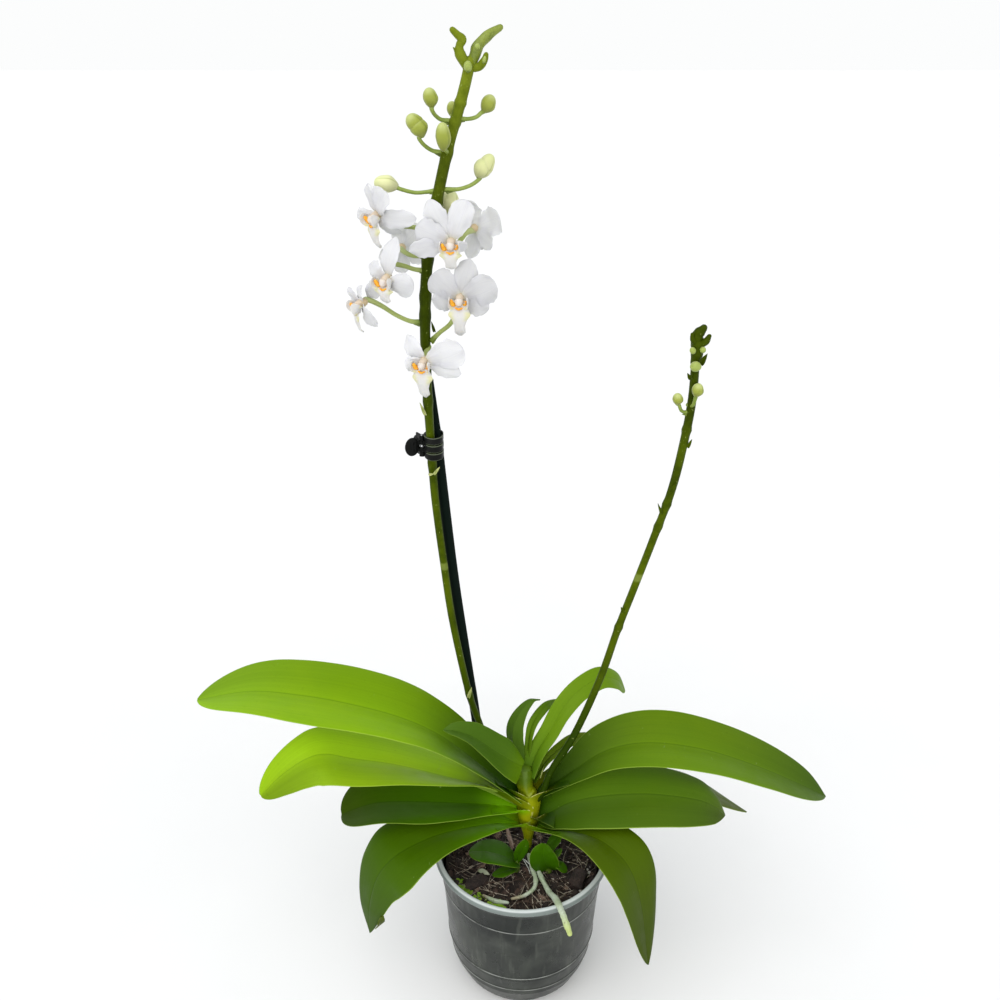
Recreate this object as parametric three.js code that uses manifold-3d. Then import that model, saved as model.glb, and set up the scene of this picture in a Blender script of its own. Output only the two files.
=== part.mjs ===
// A potted moth orchid: a clear plastic pot of bark substrate, a crown of broad leaves,
// two flower spikes, a support stake with a sprung claw clip, roots and two offset plants.
// Units are millimetres, +Z is up, and the origin is the centre of the pot's underside.

import * as THREE from 'three';
import { mergeVertices } from 'three/addons/utils/BufferGeometryUtils.js';
import Module from 'manifold-3d';

const wasm = await Module();
wasm.setup();

// ---------------------------------------------------------------- driving dimensions

const SEAT_GAP = 0.3; // gap that touching pieces keep

const POT_HEIGHT = 108;
const POT_RIM_RADIUS = 60.5;
const POT_FOOT_RADIUS = 42;
const POT_WALL = 1.3;
const POT_FLOOR = 2;
const POT_SEGMENTS = 32;
// The pot's side as [radius, height], from the foot's rounded corner to the rim's shoulder.
const POT_SIDE = [
  [POT_FOOT_RADIUS, 1.5],
  [45.5, 22],
  [49, 35],
  [53.5, 75],
  [56, POT_HEIGHT - 8],
];
const DRAIN_HOLE_RADIUS = 3.5;
const DRAIN_CIRCLE_RADIUS = 26;
const DRAIN_HOLES = 5;
const DRAIN_START = 0.3; // angle of the first hole, in radians

const SUBSTRATE_TOP = 97;
const SUBSTRATE_RADIUS = 54;

const STEM_X = 4.5;
const STEM_Y = 1;
const STEM_FOOT = 85;
const STEM_TOP = 180;

const LEAF_THICKNESS = 1.7;
const TEPAL_THICKNESS = 0.8;

const STAKE_RADIUS = 3.2;
const STAKE_TIP_RADIUS = 0.35;
const STAKE_PATH = [
  [-16, 29.5, 12],
  [-22, 29, 97],
  [-31, 28, 191],
  [-37, 27.5, 242],
  [-44, 27, 303],
  [-49, 26.3, 359],
  [-52, 25.5, 398],
  [-53.5, 25.5, 435],
];

const CLIP_Z = 389;
const CLIP_HEIGHT = 14;
const HINGE_X = -60.6;
const HINGE_Y = 21.6;
const PIN_RADIUS = 0.7;
const PIN_HOLE_RADIUS = 0.8;
const KNUCKLE_RADIUS = 1.8;

const UP = new THREE.Vector3(0, 0, 1);

const COLOURS = {
  leafBright: 0x6f9a1c,
  leafDark: 0x2f5a16,
  stemYellow: 0x8b9a24,
  spike: 0x4f6b16,
  bud: 0xc3d07a,
  flower: 0xf3f3f5,
  pot: 0x8c9091,
  substrate: 0x3a2a20,
  bark: 0x5c3f2a,
  root: 0xc9cfae,
  black: 0x16191a,
  steel: 0x9aa0a4,
};

// ---------------------------------------------------------------- solids and booleans

// Turns a closed geometry into a solid.
function solidOf(geometry) {
  const bare = geometry.clone();
  bare.deleteAttribute('normal');
  bare.deleteAttribute('uv');
  const merged = mergeVertices(bare, 1e-4);
  return new wasm.Manifold(
    new wasm.Mesh({
      numProp: 3,
      vertProperties: new Float32Array(merged.attributes.position.array),
      triVerts: new Uint32Array(merged.index.array),
    }),
  );
}

function geometryOf(solid) {
  const mesh = solid.getMesh();
  const geometry = new THREE.BufferGeometry();
  geometry.setAttribute('position', new THREE.BufferAttribute(mesh.vertProperties, 3));
  geometry.setIndex(new THREE.BufferAttribute(mesh.triVerts, 1));
  geometry.computeVertexNormals();
  return geometry;
}

function join(geometries) {
  return geometries.map(solidOf).reduce((sum, next) => sum.add(next));
}

function cut(solid, tools) {
  return tools.reduce((rest, tool) => rest.subtract(tool), solid);
}

// The main body of a grown shape, without the slivers or voids that joins and cuts leave.
function mainBody(solid) {
  return solid.decompose().reduce((most, next) => (next.volume() > most.volume() ? next : most));
}

// ---------------------------------------------------------------- curves and grown forms

function vectors(points) {
  return points.map((p) => new THREE.Vector3(...p));
}

function smoothCurve(points) {
  return new THREE.CatmullRomCurve3(vectors(points), false, 'catmullrom', 0.5);
}

function lerpList(values, t) {
  const place = t * (values.length - 1);
  const index = Math.min(Math.floor(place), values.length - 2);
  return THREE.MathUtils.lerp(values[index], values[index + 1], place - index);
}

// A unit vector across the path, as near as it can be to the wanted direction.
function acrossPath(wanted, tangent) {
  return wanted.clone().addScaledVector(tangent, -wanted.dot(tangent)).normalize();
}

// A round bar bent along a smooth path, with its radius taken from a list.
function bentBar(points, radii, sides = 8, steps = 12, grow = 0) {
  const curve = smoothCurve(points);
  const bar = new THREE.CylinderGeometry(1, 1, 1, sides, steps);
  const span = curve.getPoint(1).sub(curve.getPoint(0));
  const wanted = Math.abs(span.x) < Math.abs(span.z) ? new THREE.Vector3(1, 0, 0) : UP;
  const position = bar.attributes.position;
  for (let i = 0; i < position.count; i += 1) {
    const t = THREE.MathUtils.clamp(position.getY(i) + 0.5, 0, 1);
    const tangent = curve.getTangent(t);
    const side = acrossPath(wanted, tangent);
    const other = side.clone().cross(tangent);
    const radius = lerpList(radii, t) + grow;
    const point = curve
      .getPoint(t)
      .addScaledVector(side, position.getX(i) * radius)
      .addScaledVector(other, position.getZ(i) * radius);
    position.setXYZ(i, point.x, point.y, point.z);
  }
  return bar;
}

// Half width of a blade at t, from its base to its tip.
function bladeHalfWidth(blade, t) {
  const rise = blade.base + (1 - blade.base) * Math.sin((Math.PI / 2) * Math.min(t / blade.widest, 1));
  const run = Math.max((t - blade.widest) / (1 - blade.widest), 0);
  const fall = Math.max(1 - run ** blade.round, 0) ** blade.blunt;
  return Math.max(blade.half * rise * fall, 0.5);
}

// A leaf, petal or sepal: a box shaped along a midrib, folded and rolled about it.
function bladeGeometry(blade) {
  const curve = smoothCurve(blade.midrib);
  const first = curve.getPoint(0);
  const last = curve.getPoint(1);
  const heading = last.clone().sub(first).setZ(0).normalize();
  const wanted = blade.side ? new THREE.Vector3(...blade.side) : UP.clone().cross(heading);
  const [foldBase, foldTip] = blade.fold;
  const [rollBase, rollTip] = blade.roll;
  const box = new THREE.BoxGeometry(2, 1, 1, blade.across ?? 4, blade.along ?? 11, 1);
  const position = box.attributes.position;
  for (let i = 0; i < position.count; i += 1) {
    const s = -position.getX(i);
    const t = THREE.MathUtils.clamp(position.getY(i) + 0.5, 0, 1);
    const tangent = curve.getTangent(t);
    const flatSide = acrossPath(wanted, tangent);
    const flatNormal = tangent.clone().cross(flatSide);
    const roll = THREE.MathUtils.degToRad(THREE.MathUtils.lerp(rollBase, rollTip, t));
    const side = flatSide.clone().multiplyScalar(Math.cos(roll)).addScaledVector(flatNormal, Math.sin(roll));
    const normal = tangent.clone().cross(side);
    const half = bladeHalfWidth(blade, t);
    const fold = THREE.MathUtils.degToRad(THREE.MathUtils.lerp(foldBase, foldTip, Math.min(t * 1.5, 1)));
    const thickness = blade.thickness * (1 - 0.45 * Math.abs(s)) * (1 - 0.35 * t);
    const lift = half * (Math.abs(s) * Math.sin(fold) - blade.curl * s * s);
    const point = curve
      .getPoint(t)
      .addScaledVector(side, s * half * Math.cos(fold))
      .addScaledVector(normal, lift + position.getZ(i) * thickness);
    position.setXYZ(i, point.x, point.y, point.z);
  }
  return box;
}

// ---------------------------------------------------------------- the part

const part = new THREE.Group();

function addPiece(name, shape, colour, roughness = 0.6, metalness = 0) {
  const geometry = shape.isBufferGeometry ? shape : geometryOf(shape);
  const material = new THREE.MeshStandardMaterial({ color: colour, roughness, metalness });
  const mesh = new THREE.Mesh(geometry, material);
  mesh.name = name;
  part.add(mesh);
  return mesh;
}

// ---------------------------------------------------------------- pot and substrate

function profile(points) {
  return points.map(([r, z]) => new THREE.Vector2(r, z));
}

// A lathe turns about Y, so it is stood up along Z afterwards.
function turned(points, segments) {
  return new THREE.LatheGeometry(profile(points), segments).rotateX(Math.PI / 2);
}

function makePot() {
  const outer = [
    [0, 0],
    [POT_FOOT_RADIUS - 1.5, 0],
    ...POT_SIDE,
    [POT_RIM_RADIUS - 2, POT_HEIGHT - 7],
    [POT_RIM_RADIUS, POT_HEIGHT - 5],
    [POT_RIM_RADIUS, POT_HEIGHT - 2],
    [POT_RIM_RADIUS - 1.5, POT_HEIGHT],
    [POT_RIM_RADIUS - 4, POT_HEIGHT],
    [POT_RIM_RADIUS - 5.2, POT_HEIGHT - 2],
  ];
  const inner = POT_SIDE.map(([r, z]) => [r - POT_WALL, Math.max(z, POT_FLOOR)]).reverse();
  inner.push([0, POT_FLOOR]);
  const shell = solidOf(turned([...outer, ...inner], POT_SEGMENTS));
  const holes = [];
  for (let i = 0; i < DRAIN_HOLES; i += 1) {
    const angle = (2 * Math.PI * i) / DRAIN_HOLES + DRAIN_START;
    const hole = new THREE.CylinderGeometry(DRAIN_HOLE_RADIUS, DRAIN_HOLE_RADIUS, 4 * POT_FLOOR, 10);
    hole.rotateX(Math.PI / 2);
    hole.translate(DRAIN_CIRCLE_RADIUS * Math.cos(angle), DRAIN_CIRCLE_RADIUS * Math.sin(angle), 0);
    holes.push(solidOf(hole));
  }
  return cut(shell, holes);
}

function makeSubstrate(tools) {
  const clear = POT_WALL + SEAT_GAP;
  const side = POT_SIDE.slice(0, -1).map(([r, z]) => [r - clear, Math.max(z, POT_FLOOR + SEAT_GAP)]);
  const body = turned(
    [
      [0, POT_FLOOR + SEAT_GAP],
      ...side,
      [SUBSTRATE_RADIUS - 0.2, SUBSTRATE_TOP - 3],
      [SUBSTRATE_RADIUS - 2, SUBSTRATE_TOP],
      [0, SUBSTRATE_TOP],
    ],
    POT_SEGMENTS,
  );
  return cut(solidOf(body), tools);
}

// ---------------------------------------------------------------- stem, spikes and stake

// The knobbly stem as [radius, height]: each swelling is the sheath of a leaf base.
const STEM_RINGS = [
  [7.4, STEM_FOOT],
  [8.6, 99],
  [9.0, 110],
  [8.1, 118],
  [9.2, 126],
  [8.3, 133],
  [9.1, 141],
  [8.2, 148],
  [8.8, 156],
  [7.6, 163],
  [7.8, 170],
  [5.6, STEM_TOP - 2],
];
const STEM_SEGMENTS = 16;

function stemGeometry(grow = 0) {
  const foot = [0, STEM_FOOT - grow];
  const top = [0, STEM_TOP + grow];
  const sheaths = STEM_RINGS.map(([r, z], i) => [r + grow, i === 0 ? z - grow : z]);
  return turned([foot, ...sheaths, top], STEM_SEGMENTS).translate(STEM_X, STEM_Y, 0);
}

const MAIN_SPIKE = {
  path: [
    [1, 5, 128],
    [-8, 12, 146],
    [-18, 17, 168],
    [-27, 20, 197],
    [-35, 20, 223],
    [-44, 20, 277],
    [-50, 20, 321],
    [-53, 20, 362],
    [-55, 19, 400],
    [-56, 17, 431],
    [-56, 15, 466],
    [-54, 14, 499],
    [-49, 13, 528],
    [-41.5, 12, 559],
    [-36.2, 11, 576],
    [-32.2, 10, 589],
    [-29.4, 10, 600],
  ],
  radii: [2.3, 2.4, 2.5, 2.6, 2.8, 3.0, 3.0, 3.1, 3.1, 3.0, 2.8, 2.7, 2.6],
  steps: 24,
};

const SECOND_SPIKE = {
  path: [
    [8, 0, 146],
    [13, -4, 157],
    [19, -4, 177],
    [33, -3, 205],
    [48, 0, 246],
    [57.7, 3, 281],
    [66, 5, 308],
    [76.3, 8, 341],
    [85.4, 10, 373],
    [90.6, 12, 403],
    [93.2, 13, 427],
    [93.4, 14, 450],
  ],
  radii: [2.6, 2.7, 2.6, 2.5, 2.4, 2.3, 2.3, 2.5, 2.5, 2.4],
  steps: 16,
};

function spikeBar(spike, grow = 0) {
  return bentBar(spike.path, spike.radii, 8, spike.steps, grow);
}

// The pinched scale that sits at each joint of a spike.
function nodeScale(at, tip, radius) {
  return bentBar([at, at.map((v, i) => (v + tip[i]) / 2), tip], [radius, radius * 0.8, 0.4], 5, 2);
}

function makeMainSpike(tools) {
  const top = [-30, 10, 597];
  const pieces = [
    spikeBar(MAIN_SPIKE),
    bentBar([top, [-33, 9, 603], [-36, 8, 607], [-38, 6, 613]], [2.2, 2.6, 1.9, 1.6], 6, 4),
    bentBar([top, [-27, 12, 604], [-22, 14, 609], [-15, 17, 615]], [2.3, 2.9, 2.4, 1.5], 6, 4),
    bentBar([[-29, 11, 598], [-25, 9, 600], [-23, 8, 604]], [1.8, 2.2, 1.5], 5, 2),
    nodeScale([-57, 18, 418], [-63, 15, 421], 1.7),
    nodeScale([-55, 18, 376], [-50, 14, 380], 1.8),
    nodeScale([-46, 20, 292], [-43, 15, 297], 1.8),
    nodeScale([-36, 20, 228], [-33, 16, 236], 1.8),
  ];
  return mainBody(cut(join(pieces), tools));
}

function makeSecondSpike(tools) {
  const pieces = [
    spikeBar(SECOND_SPIKE),
    bentBar([[93, 14, 448], [94, 14, 456], [93, 14, 463], [96, 13, 468]], [2.6, 4.2, 4.0, 2.0], 7, 5),
    bentBar([[92, 14, 452], [97, 11, 456], [99, 10, 461]], [2.2, 2.6, 1.3], 5, 2),
    nodeScale([60.5, 4, 290], [57, 1, 295], 1.6),
    nodeScale([80.5, 8, 357], [76.5, 5, 365], 1.4),
    nodeScale([85.5, 10, 374], [88.5, 7, 378], 1.4),
  ];
  return mainBody(cut(join(pieces), tools));
}

function stakeBar(grow = 0) {
  const radii = STAKE_PATH.map((point, i) => (i < STAKE_PATH.length - 1 ? STAKE_RADIUS : STAKE_TIP_RADIUS));
  return bentBar(STAKE_PATH, radii, 8, 8, grow);
}

// ---------------------------------------------------------------- leaves

const LEAVES = {
  leaf_1: {
    midrib: [[-3, -0.5, 151], [-28, -2, 179], [-54, -3, 204], [-79, -4, 219], [-110, -6, 231],
      [-140, -8, 239], [-171, -9, 243], [-204, -11, 238]],
    half: 28.9, base: 0.33, widest: 0.55, blunt: 0.64, round: 2.7, roll: [-7, -13], fold: [30, 19],
  },
  leaf_2: {
    midrib: [[-3, -1.5, 146.5], [-28, -6, 165], [-51, -11, 177], [-83, -17, 192], [-108, -22, 201],
      [-125, -25, 207], [-137, -28, 205], [-151, -30, 195], [-165, -33, 181]],
    half: 24.8, base: 0.1, widest: 0.44, blunt: 0.52, round: 1.5, roll: [27, -41], fold: [30, 5],
  },
  leaf_3: {
    midrib: [[-4, -1, 141], [-22, -3, 146], [-42, -5, 149], [-64, -7, 152], [-96, -11, 155],
      [-120, -13, 147]],
    half: 22.9, base: 0.24, widest: 0.71, blunt: 0.4, round: 2, roll: [-10, -13], fold: [30, 24],
  },
  leaf_4: {
    midrib: [[-3, -3, 128], [-20, -10, 136], [-52, -24, 141], [-73, -33, 138], [-86, -39, 132],
      [-95, -42, 119], [-100, -45, 98], [-101, -45, 75]],
    half: 25.1, base: 0.11, widest: 0.53, blunt: 1.1, round: 1.5, roll: [6, -27], fold: [30, 0],
  },
  leaf_5: {
    midrib: [[12, 1, 152], [36, 3, 172], [57, 5, 186], [84, 7, 190], [121, 10, 182], [160, 14, 164],
      [191, 16, 147], [212, 18, 134]],
    half: 23.5, base: 0.16, widest: 0.49, blunt: 0.74, round: 2.5, roll: [28, 17], fold: [30, 25],
  },
  leaf_6: {
    midrib: [[12, -1, 134], [20, -3, 140], [33, -5, 150], [54, -9, 159], [83, -14, 165], [112, -19, 165],
      [125, -21, 160], [131, -22, 155]],
    half: 26.1, base: 0.23, widest: 0.48, blunt: 0.92, round: 1.5, roll: [26, 2], fold: [30, 1],
  },
  leaf_7: {
    midrib: [[9, 6, 130], [39, 12, 139], [67, 16, 146], [96, 20, 146], [126, 26, 134], [164, 34, 105]],
    half: 16.5, base: 0.25, widest: 0.55, blunt: 0.42, round: 2.1, roll: [-14, 7], fold: [30, 6],
  },
  leaf_8: {
    midrib: [[10, -4.5, 126], [34, -24, 142], [52, -39, 147], [66, -51, 139], [74, -58, 115], [81, -63, 67]],
    half: 19.5, base: 0.24, widest: 0.57, blunt: 0.73, round: 1.5, roll: [-2, 17], fold: [30, 13],
  },
  leaf_9: {
    midrib: [[-3, -2, 168], [-13, -4, 180], [-20, -7, 194], [-31, -10, 206], [-42, -13, 215],
      [-51, -16, 221]],
    half: 15, base: 0.5, widest: 0.4, blunt: 0.8, round: 2, roll: [0, 0], fold: [62, 45],
    along: 9,
  },
  leaf_10: {
    midrib: [[0, 5, 174], [-2, 9, 188], [-4, 13, 196], [-1, 19, 204], [4, 23, 207], [9, 26, 207]],
    half: 6.5, base: 0.6, widest: 0.4, blunt: 0.7, round: 2, roll: [0, 0], fold: [40, 15], along: 8,
  },
  leaf_11: {
    midrib: [[3, 6, 171], [3, 13, 184], [7, 18, 196], [14, 26, 204], [23, 36, 202], [34, 46, 192]],
    half: 6, base: 0.5, widest: 0.5, blunt: 0.6, round: 2, roll: [10, 20], fold: [40, 15], along: 8,
  },
  leaf_12: {
    midrib: [[6, 2, 170], [10, 6, 183], [18, 11, 196], [26, 16, 210], [37, 22, 221], [52, 31, 225],
      [64, 38, 218], [71, 42, 206]],
    half: 7.4, base: 0.53, widest: 0.79, blunt: 0.5, round: 2.2, roll: [24, 44], fold: [30, 9], along: 10,
  },
  leaf_13: {
    midrib: [[8, 6, 158], [16, 11, 170], [26, 18, 175], [37, 26, 177], [53, 33, 173], [69, 40, 160]],
    half: 8, base: 0.5, widest: 0.55, blunt: 0.6, round: 2, roll: [20, 10], fold: [35, 10], along: 8,
  },
};

// The offset plants at the foot: short stubs, each with a few small leaves.
const OFFSET_LEAF = {
  base: 0.3, widest: 0.5, blunt: 0.55, round: 2, fold: [25, 8], thickness: 1.1, across: 2, along: 6,
};
const OFFSETS = {
  left: {
    foot: [-4, -12],
    leaves: [
      { midrib: [[-4, -12, 102], [-14, -14, 111.5], [-25, -14, 117], [-36, -14, 115.5]], half: 12, roll: [8, 8] },
      { midrib: [[-4, -13, 100], [-10, -18, 102], [-20, -22, 101]], half: 5, roll: [5, 5] },
      { midrib: [[-4, -12.5, 104], [-2.5, -13, 114], [-0.5, -14, 125]], half: 5, roll: [0, 0] },
    ],
  },
  right: {
    foot: [18, -12],
    leaves: [
      {
        midrib: [[16.5, -14.5, 102], [14.5, -17, 108], [13, -18, 117], [12.9, -17, 125]],
        half: 8.4, base: 0.4, side: [-1, 0, 0], roll: [0, 0],
      },
      { midrib: [[19.5, -12, 103], [23, -13, 111], [27, -13, 116]], half: 4.5, roll: [0, 0] },
      { midrib: [[20.5, -12.5, 102], [24, -15, 105], [27.5, -17, 104], [30, -18, 101]], half: 4, roll: [0, 0] },
      { midrib: [[18.3, -10.5, 104], [20, -6, 112], [24, -3, 117], [28, -2, 119]], half: 4.5, roll: [0, 0] },
    ],
  },
};

function leafSolid(spec, tools) {
  const blade = { thickness: LEAF_THICKNESS, curl: 0.1, ...spec };
  return mainBody(cut(solidOf(bladeGeometry(blade)), tools));
}

function offsetStub([x, y], grow = 0) {
  const foot = SUBSTRATE_TOP + SEAT_GAP - grow;
  const stub = [
    [0, foot],
    [2.6 + grow, foot],
    [2.9 + grow, 101],
    [1.9 + grow, 105],
    [0, 106 + grow],
  ];
  return turned(stub, 10).translate(x, y, 0);
}

// ---------------------------------------------------------------- flowers and buds

// Each tepal is [angle in the flower's plane, length, half width, forward lift at its tip].
const FLOWERS = {
  flower_1: {
    centre: [-78, 8, 528], face: [-0.75, -0.6, -0.25], lean: [0, 0, 1],
    tepals: [[89, 17, 4.6, 2], [-178, 12, 4.5, 6], [50, 18.5, 5.2, 0], [-60, 13, 4.2, -6], [-8, 20, 4.9, -9]],
    lip: 15, stalk: [[-66, 13, 520], [-57, 14, 521], [-49.5, 13.2, 524]],
  },
  flower_2: {
    centre: [-69, 33, 507], face: [-0.45, 0.85, -0.1], lean: [0, 0, 1],
    tepals: [[85, 15, 4, -2], [145, 17, 5.5, 0], [-32, 14, 5, 0], [-155, 16, 4.5, 0], [-87, 13, 4.5, 0]],
    lip: 13, stalk: [[-65, 24, 502], [-60, 18, 501], [-53.5, 14.2, 506]],
  },
  flower_3: {
    centre: [-74, 2, 497], face: [-0.45, -0.85, -0.2], lean: [0, 0, 1],
    tepals: [[76, 21, 4.2, -6], [144, 12, 3.6, 0], [-15, 16, 5.5, 0], [-144, 20, 4.2, 0], [-60, 10, 4, -5]],
    lip: 12, stalk: [[-69, 9, 500], [-62, 13, 499], [-54, 14.2, 500]],
  },
  flower_4: {
    centre: [-89, 10, 482], face: [-0.9, -0.35, -0.2], lean: [0, 0, 1],
    tepals: [[85, 10, 3.5, -1], [142, 11, 3.6, 5], [-30, 17, 4.5, -2], [200, 10, 3.5, 4], [-100, 12, 4, -4]],
    lip: 14, stalk: [[-78, 13, 481], [-67, 15, 472], [-55.8, 15.2, 471]],
  },
  flower_5: {
    centre: [-40, 0, 516], face: [-0.1, -0.97, -0.2], lean: [0, 0, 1],
    tepals: [[118, 23.5, 5.2, -2], [159, 19.5, 6.3, 0], [66, 24, 6.6, -4], [192, 22.5, 4.6, 2],
      [-40, 9, 4, -5]],
    lip: 13, stalk: [[-42, 8, 515], [-47, 12, 513], [-52, 13.8, 512]],
  },
  flower_6: {
    centre: [-28, 24, 519], face: [0.55, 0.8, 0.1], lean: [0, 0, 1],
    tepals: [[81, 15, 5, 0], [157, 18.5, 6, 0], [27, 17, 6.3, 0], [-139, 14, 5, 0], [-72, 17, 4.5, 0]],
    lip: 12, stalk: [[-34, 18, 516], [-43, 15, 515], [-51, 13.6, 517]],
  },
  flower_7: {
    centre: [-36, 1, 487], face: [-0.12, -0.97, -0.15], lean: [0, 0, 1],
    tepals: [[75, 21, 5.4, -2], [138, 19, 6.2, 0], [22, 20.8, 6.5, 0], [185, 15, 5.5, 2],
      [-19, 16.2, 5, 2]],
    lip: 19.5, stalk: [[-39, 8, 480], [-46, 13, 468], [-54.8, 15, 462]],
  },
  flower_8: {
    centre: [-56, 0, 453], face: [-0.3, -0.93, -0.2], lean: [0, 0, 1],
    tepals: [[127, 16.5, 4.2, -2], [185, 9, 4, 6], [22, 25, 6.3, 0], [212, 9, 3.5, -6],
      [-14, 21.5, 4.5, 1]],
    lip: 20, stalk: [[-54, 8, 452], [-53, 13, 454], [-55.6, 15.5, 459]],
  },
};

// Each bud is its centre, the way it points, its half length and half width, and its stalk's points.
const BUDS = {
  bud_1: {
    centre: [-49, 6, 584], aim: [-0.3, -0.15, 1], size: [5.4, 3.4],
    stalk: [[-46, 9, 574], [-39, 11.8, 573]],
  },
  bud_2: {
    centre: [-56, 2, 570], aim: [-0.35, -0.2, 1], size: [6, 4.2],
    stalk: [[-51, 7, 559], [-43.6, 11.8, 556]],
  },
  bud_3: {
    centre: [-43, 1, 566], aim: [-0.05, -0.3, 1], size: [7, 3.9],
    stalk: [[-41.5, 6, 557], [-41.5, 11.5, 558]],
  },
  bud_4: {
    centre: [-21, 14, 581], aim: [0.45, 0.1, 1], size: [5, 3.6],
    stalk: [[-26, 13, 574], [-36, 11, 577]],
  },
  bud_5: {
    centre: [-39, 20, 578], aim: [-0.1, 0.3, 1], size: [4, 2.6],
    stalk: [[-38, 17, 573], [-37.5, 11.5, 574]],
  },
  bud_6: {
    centre: [-22, 16, 552], aim: [0.7, 0.1, 0.7], size: [7, 5],
    stalk: [[-32, 16, 541], [-45.5, 12.7, 541]],
  },
  bud_7: {
    centre: [-73, 12, 543], aim: [-1, -0.1, 0.15], size: [7, 4.4],
    stalk: [[-60, 12, 538], [-46.5, 12.7, 541]],
  },
  bud_8: {
    centre: [-42, 21, 533], aim: [0.25, 0.3, 1], size: [6.5, 5],
    stalk: [[-44, 19, 524], [-49.3, 13.1, 525]],
  },
  bud_9: {
    centre: [84, 8, 429], aim: [-0.1, -0.3, 1], size: [3.6, 2.7],
    stalk: [[85, 9, 420], [91, 12.4, 420]],
  },
  bud_10: {
    centre: [94.4, 7, 434.5], aim: [0.1, -0.2, 1], size: [4.2, 3],
    stalk: [[94, 9.5, 427], [93.3, 13, 428]],
  },
};

const COLUMN = { front: 1.2, back: 3.2, length: 6, sides: 5 };
const TEPAL_START = 2; // distance from the flower's centre at which its tepals begin
const LIP_SHAPE = { half: 3.6, base: 0.6, widest: 0.75, blunt: 0.5, round: 2, thickness: 1.2 };
const FLOWER_STALK_RADII = [1.6, 1.8, 1.4, 1.2, 1.2];
const BUD_STALK_RADII = [1.3, 1.2, 1.3];

// The turn from a flower's own frame (x right, y up, z out of its face) to the part's frame.
function facing({ centre, face, lean }) {
  const out = new THREE.Vector3(...face).normalize();
  const up = acrossPath(new THREE.Vector3(...lean), out);
  const right = up.clone().cross(out);
  const frame = new THREE.Matrix4().makeBasis(right, up, out);
  frame.setPosition(...centre);
  return frame;
}

function tepalGeometry([angle, length, half, lift]) {
  const turn = THREE.MathUtils.degToRad(angle);
  const along = [Math.cos(turn), Math.sin(turn)];
  const midrib = [TEPAL_START / length, 0.4, 0.7, 1].map((t) => {
    const cup = 2.2 * Math.sin(Math.PI * t) + lift * t;
    return [along[0] * length * t, along[1] * length * t, cup - 1];
  });
  return bladeGeometry({
    midrib,
    half,
    side: [-along[1], along[0], 0],
    base: 0.16,
    widest: 0.55,
    blunt: 0.5,
    round: 2.2,
    roll: [0, 0],
    fold: [12, 4],
    curl: 0.12,
    thickness: TEPAL_THICKNESS,
    across: 2,
    along: 3,
  });
}

function flowerSolid(flower, tools) {
  const frame = facing(flower);
  const reach = flower.lip;
  const lip = bladeGeometry({
    ...LIP_SHAPE,
    midrib: [[0, -1, 0], [0, -5, 4.5], [0, -0.65 * reach, 6], [0, -reach, 3]],
    side: [1, 0, 0],
    roll: [0, 0],
    fold: [10, 10],
    curl: 0.1,
    across: 2,
    along: 3,
  });
  const column = new THREE.CylinderGeometry(COLUMN.front, COLUMN.back, COLUMN.length, COLUMN.sides);
  column.rotateX(Math.PI / 2).translate(0, 0.2, COLUMN.front);
  const head = join([...flower.tepals.map(tepalGeometry), lip, column]);
  const backOf = (z) => new THREE.Vector3(0, -0.4, z).applyMatrix4(frame).toArray();
  const path = [backOf(-0.6), backOf(-5), ...flower.stalk];
  const stalk = solidOf(bentBar(path, FLOWER_STALK_RADII, 5, 6));
  return mainBody(cut(head.transform([...frame.elements]).add(stalk), tools));
}

function budSolid(bud, tools) {
  const [halfLength, halfWidth] = bud.size;
  const aim = new THREE.Vector3(...bud.aim).normalize();
  const turn = new THREE.Quaternion().setFromUnitVectors(new THREE.Vector3(0, 1, 0), aim);
  const shape = new THREE.SphereGeometry(1, 8, 6).scale(halfWidth, halfLength, halfWidth);
  shape.applyQuaternion(turn).translate(...bud.centre);
  const foot = new THREE.Vector3(...bud.centre).addScaledVector(aim, -0.8 * halfLength);
  const stalk = bentBar([foot.toArray(), ...bud.stalk], BUD_STALK_RADII, 5, 4);
  return mainBody(cut(join([shape, stalk]), tools));
}

// ---------------------------------------------------------------- roots and loose bits

const ROOTS = {
  root_1: {
    path: [[7, -3, 101], [10, -12, 99.8], [13, -22, 100], [17, -36, 103], [21, -49, 109.6],
      [24, -60, 111.6], [26.5, -66, 108], [29, -68, 101]],
    radii: [1.9, 2, 2.1, 2, 2.2, 2.1, 2.2, 1.4],
    steps: 14,
  },
  root_2: {
    path: [[5, -3, 101], [7.5, -14, 99.6], [8.5, -24, 99.2], [6.5, -33, 99.2], [0, -38, 99.2],
      [-7, -39, 99.2]],
    radii: [1.8, 1.8, 1.7, 1.6, 1.5, 0.9],
    steps: 12,
  },
  root_3: {
    path: [[-10, -42, 99], [-18, -40.5, 99], [-26, -36, 99]],
    radii: [1.0, 1.5, 1.3, 0.8],
    steps: 5,
  },
};

function rootSolid({ path, radii, steps }, tools) {
  return mainBody(cut(solidOf(bentBar(path, radii, 6, steps)), tools));
}

const CHIP_BEVEL = 0.8;
const CHIPS = {
  bark_chip_1: { at: [38, -22], size: [16, 9, 5], turn: 65 },
  bark_chip_2: { at: [-30, -24], size: [15, 8, 4], turn: 30 },
  bark_chip_3: { at: [-38, 14], size: [17, 10, 5], turn: 100 },
  bark_chip_4: { at: [26, 30], size: [18, 11, 6], turn: 15 },
  bark_chip_5: { at: [-4, 42], size: [15, 9, 5], turn: -20 },
};

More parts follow.
